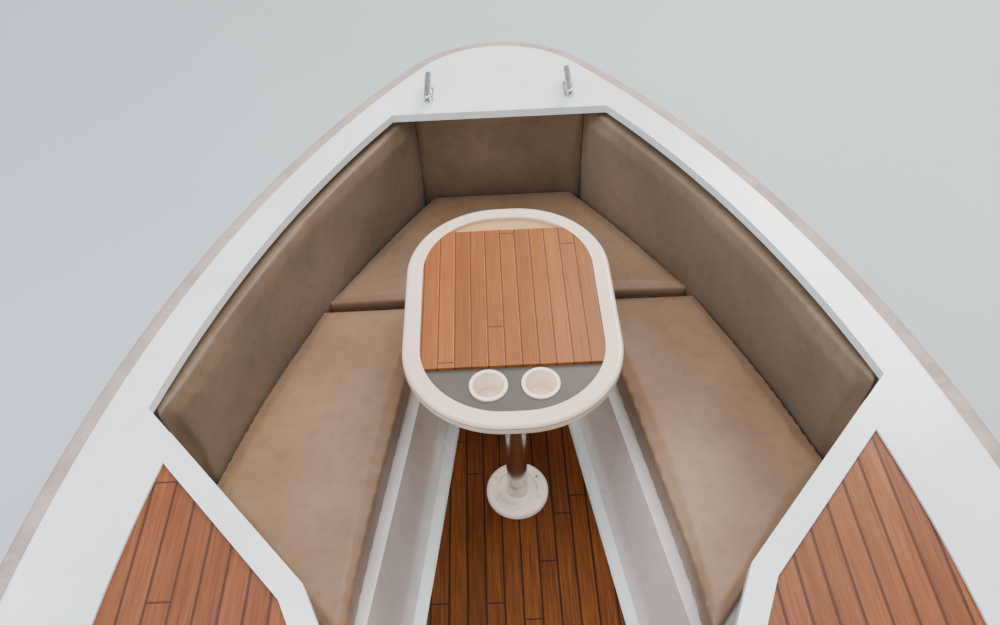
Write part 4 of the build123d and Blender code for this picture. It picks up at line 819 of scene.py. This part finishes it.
# Instruments and switches on the starboard dash face, either side of the steering column.
# The face's foot, run and rise are those of the dash solids.
face_foot = np.array([0.0, 0.855, 0.8934])
face_run, face_rise = 0.044, 0.084
face_length = float(np.hypot(face_run, face_rise))
rightward = np.array([1.0, 0.0, 0.0])
face_up = np.array([0.0, face_run, face_rise]) / face_length
face_out = np.array([0.0, -face_rise, face_run]) / face_length
dial_share, dial_radius = 0.48, 0.034
dial_places = np.array([0.415, 0.655, 0.745])
face_middle = face_foot + face_up * face_length * dial_share
dials = face_middle + rightward * dial_places[:, None]
bezel = [
    (dial_radius, -0.001),
    (dial_radius, 0.004),
    (dial_radius - 0.002, 0.0065),
    (dial_radius - 0.004, 0.007),
    (dial_radius - 0.006, 0.006),
    (dial_radius - 0.0065, 0.001),
    (dial_radius - 0.0065, -0.001),
    (dial_radius, -0.001),
]
add_piece("dial_bezels", *turned(bezel, dials, face_out), stainless)
plate_radius, plate_thickness = dial_radius - 0.006, 0.003
marks_level = 0.0031  # a tenth of a millimetre over the plate
plate = [(0.0, 0.0), (plate_radius, 0.0), (plate_radius, plate_thickness), (0.0, plate_thickness)]
add_piece("dial_plates", *turned(plate, dials, face_out), dial_plastic)
# Ticks sweep three quarters of a turn; every fourth one is longer
tick_count, tick_width, mark_height = 13, 0.0009, 0.0006
long_tick, short_tick, tick_margin = 0.005, 0.0028, 0.0085
sweep = np.linspace(radians(-45), radians(225), tick_count)
tick_length = np.where(np.arange(tick_count) % 4 == 0, long_tick, short_tick)
tick_reach = dial_radius - tick_margin - tick_length / 2
needle_angles = (radians(200), radians(150), radians(70))
needle_reach, needle_length, needle_width = 0.008, 0.026, 0.0014
marks = []
for x, needle in zip(dial_places, needle_angles):
    marks += [
        (x + reach * cos(angle), reach * sin(angle), angle, length, tick_width)
        for reach, angle, length in zip(tick_reach, sweep, tick_length)
    ]
    needle_spot = (x + needle_reach * cos(needle), needle_reach * sin(needle))
    marks.append((*needle_spot, needle, needle_length, needle_width))
marks_base = face_middle + marks_level * face_out
add_piece(
    "dial_marks",
    *bars(marks, marks_base, rightward, face_up, face_out, mark_height),
    cup_plastic,
)
# Three rocker switches outboard of the dials
rocker_x, rocker_pitch = 0.806, 0.022
rocker_length, rocker_width, rocker_height = 0.024, 0.015, 0.005
rockers = [
    (rocker_x, (row - 1) * rocker_pitch, 0.0, rocker_length, rocker_width) for row in range(3)
]
add_piece(
    "dash_rockers",
    *bars(rockers, face_middle, rightward, face_up, face_out, rocker_height),
    grip_plastic,
)
# Grab rail for the companion on the port dash, with its feet sunk 2 mm in the face
rail_x, rail_half, rail_height, rail_radius, rail_sunk = -0.589, 0.13, 0.042, 0.010, 0.002
rail_middle = face_foot + face_up * face_length * 0.5 + rightward * rail_x
rail = staple(rail_middle - rail_sunk * face_out, rightward, face_out, rail_half, rail_height)
add_piece("dash_grab_rail", *rod(rail, rail_radius, face_up), stainless)
flange = [(0.0, -0.001), (0.021, -0.001), (0.021, 0.002), (0.018, 0.0045), (0.0, 0.0045)]
rail_ends = np.array([rail_middle + sign * rail_half * rightward for sign in (-1, 1)])
add_piece("dash_rail_flanges", *turned(flange, rail_ends, face_out), stainless)

# Six screws in the flat rim of the table's floor ring, between its dish and its rounded edge:
# each a low dome with its rim just sunk
screw = [(0.0, -0.0006), (0.0048, -0.0006), (0.0048, 0.0004), (0.0035, 0.0015), (0.0, 0.0021)]
screw_circle, screw_count, screw_start = 0.0715, 6, radians(30)
ring_low, ring_high = node_box("table_ring")
ring_middle = (ring_low + ring_high) / 2
screw_turns = np.linspace(0, 2 * pi, screw_count, endpoint=False) + screw_start
ring_screws = np.stack(
    [
        ring_middle[0] + screw_circle * np.cos(screw_turns),
        ring_middle[1] + screw_circle * np.sin(screw_turns),
        np.full(screw_count, ring_high[2]),
    ],
    axis=1,
)
add_piece("ring_screws", *turned(screw, ring_screws, straight_up, 16), stainless)

# Fuel filler cap on the starboard quarter: a rim round a flat lid, square to the sloping deck
deck_slope = radians(1.5)
sheer_height = 0.865
filler_x, filler_y = 0.958, -1.62
filler = np.array([filler_x, filler_y, sheer_height + filler_y * np.tan(deck_slope)])
filler_profile = [
    (0.0, -0.002),
    (0.040, -0.002),
    (0.040, 0.0015),
    (0.037, 0.004),
    (0.030, 0.004),
    (0.029, 0.0025),
    (0.0, 0.0025),
]
deck_out = (0.0, -float(np.sin(deck_slope)), float(np.cos(deck_slope)))
add_piece("filler_cap", *turned(filler_profile, [filler], deck_out, 48), stainless)

# Bolts and washers round the transom shield
transom_y, shield_thickness, bolt_x = -2.75, 0.046, 0.128
bolt_spots = [
    (side * bolt_x, transom_y - shield_thickness, z)
    for side in (-1, 1)
    for z in (-0.205, -0.08, 0.045)
]
bolt = [
    (0.0, -0.002),
    (0.013, -0.002),
    (0.013, 0.0015),
    (0.0085, 0.0017),
    (0.0085, 0.0075),
    (0.0072, 0.0085),
    (0.0, 0.0085),
]
add_piece("shield_bolts", *turned(bolt, bolt_spots, aft, 18), stainless)

# Cap on the wheel's hub, turning with the wheel
wheel_middle = np.array([0.54, 0.75097, 0.99284])
hub_height = 0.012
hub_cap = [
    (0.0, -0.001),
    (0.032, -0.001),
    (0.032, 0.0015),
    (0.028, 0.004),
    (0.016, 0.0055),
    (0.0, 0.006),
]
hub_spot = wheel_middle + hub_height * face_out
add_piece("wheel_cap", *turned(hub_cap, [hub_spot], face_out, 48), stainless, "steering_wheel")

# A speaker grille in each liner beside the seats: rings standing 1 mm proud of a dished disc
grille_radius, grille_ring, ring_count = 0.078, 0.0055, 49
grille_radii = np.linspace(0.006, grille_radius - 0.012, ring_count)[::-1]
grille = [(0.0, -0.001), (grille_radius, -0.001), (grille_radius, 0.003)]
grille += [(grille_radius - 0.004, 0.007), (grille_radius - 0.010, 0.007)]
grille += [(r, 0.004 + 0.001 * cos(r / grille_ring * 2 * pi)) for r in grille_radii]
grille += [(0.0, 0.005)]
# The engine bay's air vent on each quarter: bright slats on a dark plate. Each level is how
# far out of the hull's skin the slats or the plate begin.
slat_count, slat_rise, slat_length, slat_width = 5, 0.017, 0.22, 0.009
slat_level, slat_thickness, vent_level, vent_thickness = 0.002, 0.006, -0.004, 0.0065
slats = [
    (0.0, (row - slat_count // 2) * slat_rise, 0.0, slat_length, slat_width)
    for row in range(slat_count)
]
vent_plate = [(0.0, 0.0, 0.0, 0.25, 0.10)]
# Lines that find the skin start inside the cockpit for the liners and outside for the hull
cockpit_x, outside_x = 0.5, 1.5
grille_y, grille_z, vent_y, vent_z = 0.27, 0.42, -2.22, 0.55
for side, sign in (("port", -1), ("starboard", 1)):
    grille_start = (sign * cockpit_x, grille_y, grille_z)
    spot, out = on_skin(f"cockpit_liner_{side}", grille_start, (sign, 0, 0))
    add_piece(f"speaker_grille_{side}", *turned(grille, [spot], out, 64), grip_plastic)
    spot, out = on_skin("hull", (sign * outside_x, vent_y, vent_z), (-sign, 0, 0))
    along = np.cross(straight_up, out)
    along /= np.linalg.norm(along)
    rise = np.cross(out, along)
    add_piece(
        f"vent_slats_{side}",
        *bars(slats, spot + slat_level * out, along, rise, out, slat_thickness),
        stainless,
    )
    add_piece(
        f"vent_plate_{side}",
        *bars(vent_plate, spot + vent_level * out, along, rise, out, vent_thickness),
        grip_plastic,
    )
# Outlets through the starboard topside: a flanged ring with a shallow mouth
outlet = [(0.0, -0.002), (0.021, -0.002), (0.021, 0.003), (0.017, 0.006), (0.013, 0.006)]
outlet += [(0.012, 0.002), (0.0, 0.002)]
outlet_height = 0.24
for number, y in enumerate((-2.45, -1.9), start=1):
    spot, out = on_skin("hull", (outside_x, y, outlet_height), (-1, 0, 0))
    add_piece(f"bilge_outlet_{number}", *turned(outlet, [spot], out, 32), stainless)

# Drain strainers in the aft corners of the cockpit sole, ringed with ridges 5 mm apart
sole_height, drain_x, drain_y, ridge = 0.150, 0.775, -1.17, 0.005
strainer_radii = np.linspace(0.028, 0.003, 26)
strainer = [(0.0, -0.002), (0.034, -0.002), (0.034, 0.001), (0.031, 0.003)]
strainer += [(r, 0.002 + 0.0008 * cos(r / ridge * 2 * pi)) for r in strainer_radii]
strainer += [(0.0, 0.0028)]
drains = [(sign * drain_x, drain_y, sole_height) for sign in (-1, 1)]
add_piece("floor_drains", *turned(strainer, drains, straight_up, 40), stainless)


def floor_at_waterline(reach=40.0, rows=8, count=80, lap=0.006, bay_clear=0.6):
    """A flat ring at the waterline whose inner edge lies just inside the hull's skin.

    The hull's triangles are cut at the waterline. The inner edge follows the cuts up one side
    and down the other, and row r lies between it and a circle of the reach, by r squared.
    """
    hull = nodes["hull"].data
    hull.calc_loop_triangles()
    corners = np.empty(len(hull.loop_triangles) * 3, dtype=np.int32)
    hull.loop_triangles.foreach_get("vertices", corners)
    start = coordinates(hull)[corners].reshape(-1, 3, 3)
    end = np.roll(start, -1, axis=1)
    crosses = start[..., 2] * end[..., 2] < 0
    start, end = start[crosses], end[crosses]
    cut = start + start[:, 2:] / (start[:, 2:] - end[:, 2:]) * (end - start)
    # The waterline also cuts the engine bay's walls, which lie aft and nearer the middle
    cut = cut[(cut[:, 0] > bay_clear) | ((cut[:, 1] > 0) & (cut[:, 0] > 0))]
    cut = cut[np.lexsort((cut[:, 0], cut[:, 1]))]
    along = np.linspace(cut[0, 1] + lap, cut[-1, 1] - lap, count)
    half = np.maximum(np.interp(along, cut[:, 1], cut[:, 0]) - lap, 0.001)
    inner = np.concatenate(
        [np.stack([half, along], axis=1), np.stack([-half[::-1], along[::-1]], axis=1)]
    )
    angles = np.unwrap(np.arctan2(inner[:, 1], inner[:, 0]))
    outer = reach * np.stack([np.cos(angles), np.sin(angles)], axis=1)
    share = np.linspace(0, 1, rows)[:, None, None] ** 2
    grid = np.concatenate([inner + share * (outer - inner), np.zeros((rows, 2 * count, 1))], 2)
    # The ring runs anticlockwise and outwards, so its faces are turned over to look up
    faces = ring_faces(rows, 2 * count)[:, [0, 3, 2, 1]]
    mesh = bpy.data.meshes.new("floor")
    mesh.from_pydata(grid.reshape(-1, 3).tolist(), [], faces.tolist())
    # A matt studio floor, pale, with a slow change of tone that keeps it from looking flat
    tone_width = 2.0
    material, tree, shader, place = start_material("matt pale floor")
    tone = add_node(
        tree, "ShaderNodeTexNoise", {"Vector": place, "Scale": 1 / tone_width, "Detail": 2.0}
    )
    base = add_node(
        tree,
        "ShaderNodeMix",
        {0: tone, 6: colour("#b9c0c2"), 7: colour("#aab2b5")},
        2,
        data_type="RGBA",
    )
    tree.links.new(base, shader.inputs["Base Color"])
    shader.inputs["Roughness"].default_value = 0.8
    mesh.materials.append(material)
    floor = in_scene("floor", mesh)


floor_at_waterline()


def area_light(name, place, aim, size, power, tint):
    """A soft square light at a place, turned to its aim."""
    light = bpy.data.lights.new(name, "AREA")
    light.shape = "SQUARE"
    light.size = size
    light.energy = power
    light.color = colour(tint)[:3]
    lamp = in_scene(name, light)
    lamp.location = place
    lamp.rotation_euler = (Vector(aim) - Vector(place)).to_track_quat("-Z", "Y").to_euler()


# A warm key over the starboard bow, a cool fill to port, and softer light over bow and stern
area_light("key", (4.2, 7.8, 6.4), (0.0, 2.6, 0.8), 4.0, 1000.0, "#fff8ee")
area_light("fill", (-6.0, 1.0, 6.0), (0.0, 2.0, 0.5), 6.0, 420.0, "#eaf2ff")
area_light("back", (0.0, -9.0, 6.0), (0.0, -1.8, 0.5), 5.0, 520.0, "#f4f8ff")
area_light("top", (0.0, 2.6, 8.0), (0.0, 2.2, 0.0), 6.0, 560.0, "#f8fbff")

world = bpy.data.worlds.new("studio")
world.use_nodes = True
scene.world = world
backdrop = world.node_tree.nodes["Background"]
backdrop.inputs["Color"].default_value = colour("#dfe6ea")
backdrop.inputs["Strength"].default_value = 0.75

# The photograph's frame is 1000 by 625 pixels, so the lens comes from a focus in pixels
image_width = 1000.0
focus_pixels = 800.0
sensor_width = 36.0
camera_place = Vector((-0.028, 0.718, 2.35))
camera_pitch = radians(47.0)
camera_roll = radians(-2.7)
looking = Vector((0.0, cos(camera_pitch), -sin(camera_pitch)))
level = looking.cross(Vector(straight_up)).normalized()
upward = level.cross(looking)
rolled_right = cos(camera_roll) * level + sin(camera_roll) * upward
rolled_up = cos(camera_roll) * upward - sin(camera_roll) * level
lens = bpy.data.cameras.new("camera")
lens.sensor_width = sensor_width
lens.lens = focus_pixels / image_width * sensor_width
lens.clip_start, lens.clip_end = 0.05, 200.0
camera = in_scene("camera", lens)
camera_turn = Matrix((rolled_right, rolled_up, -looking)).transposed()
camera.matrix_world = Matrix.Translation(camera_place) @ camera_turn.to_4x4()
scene.camera = camera
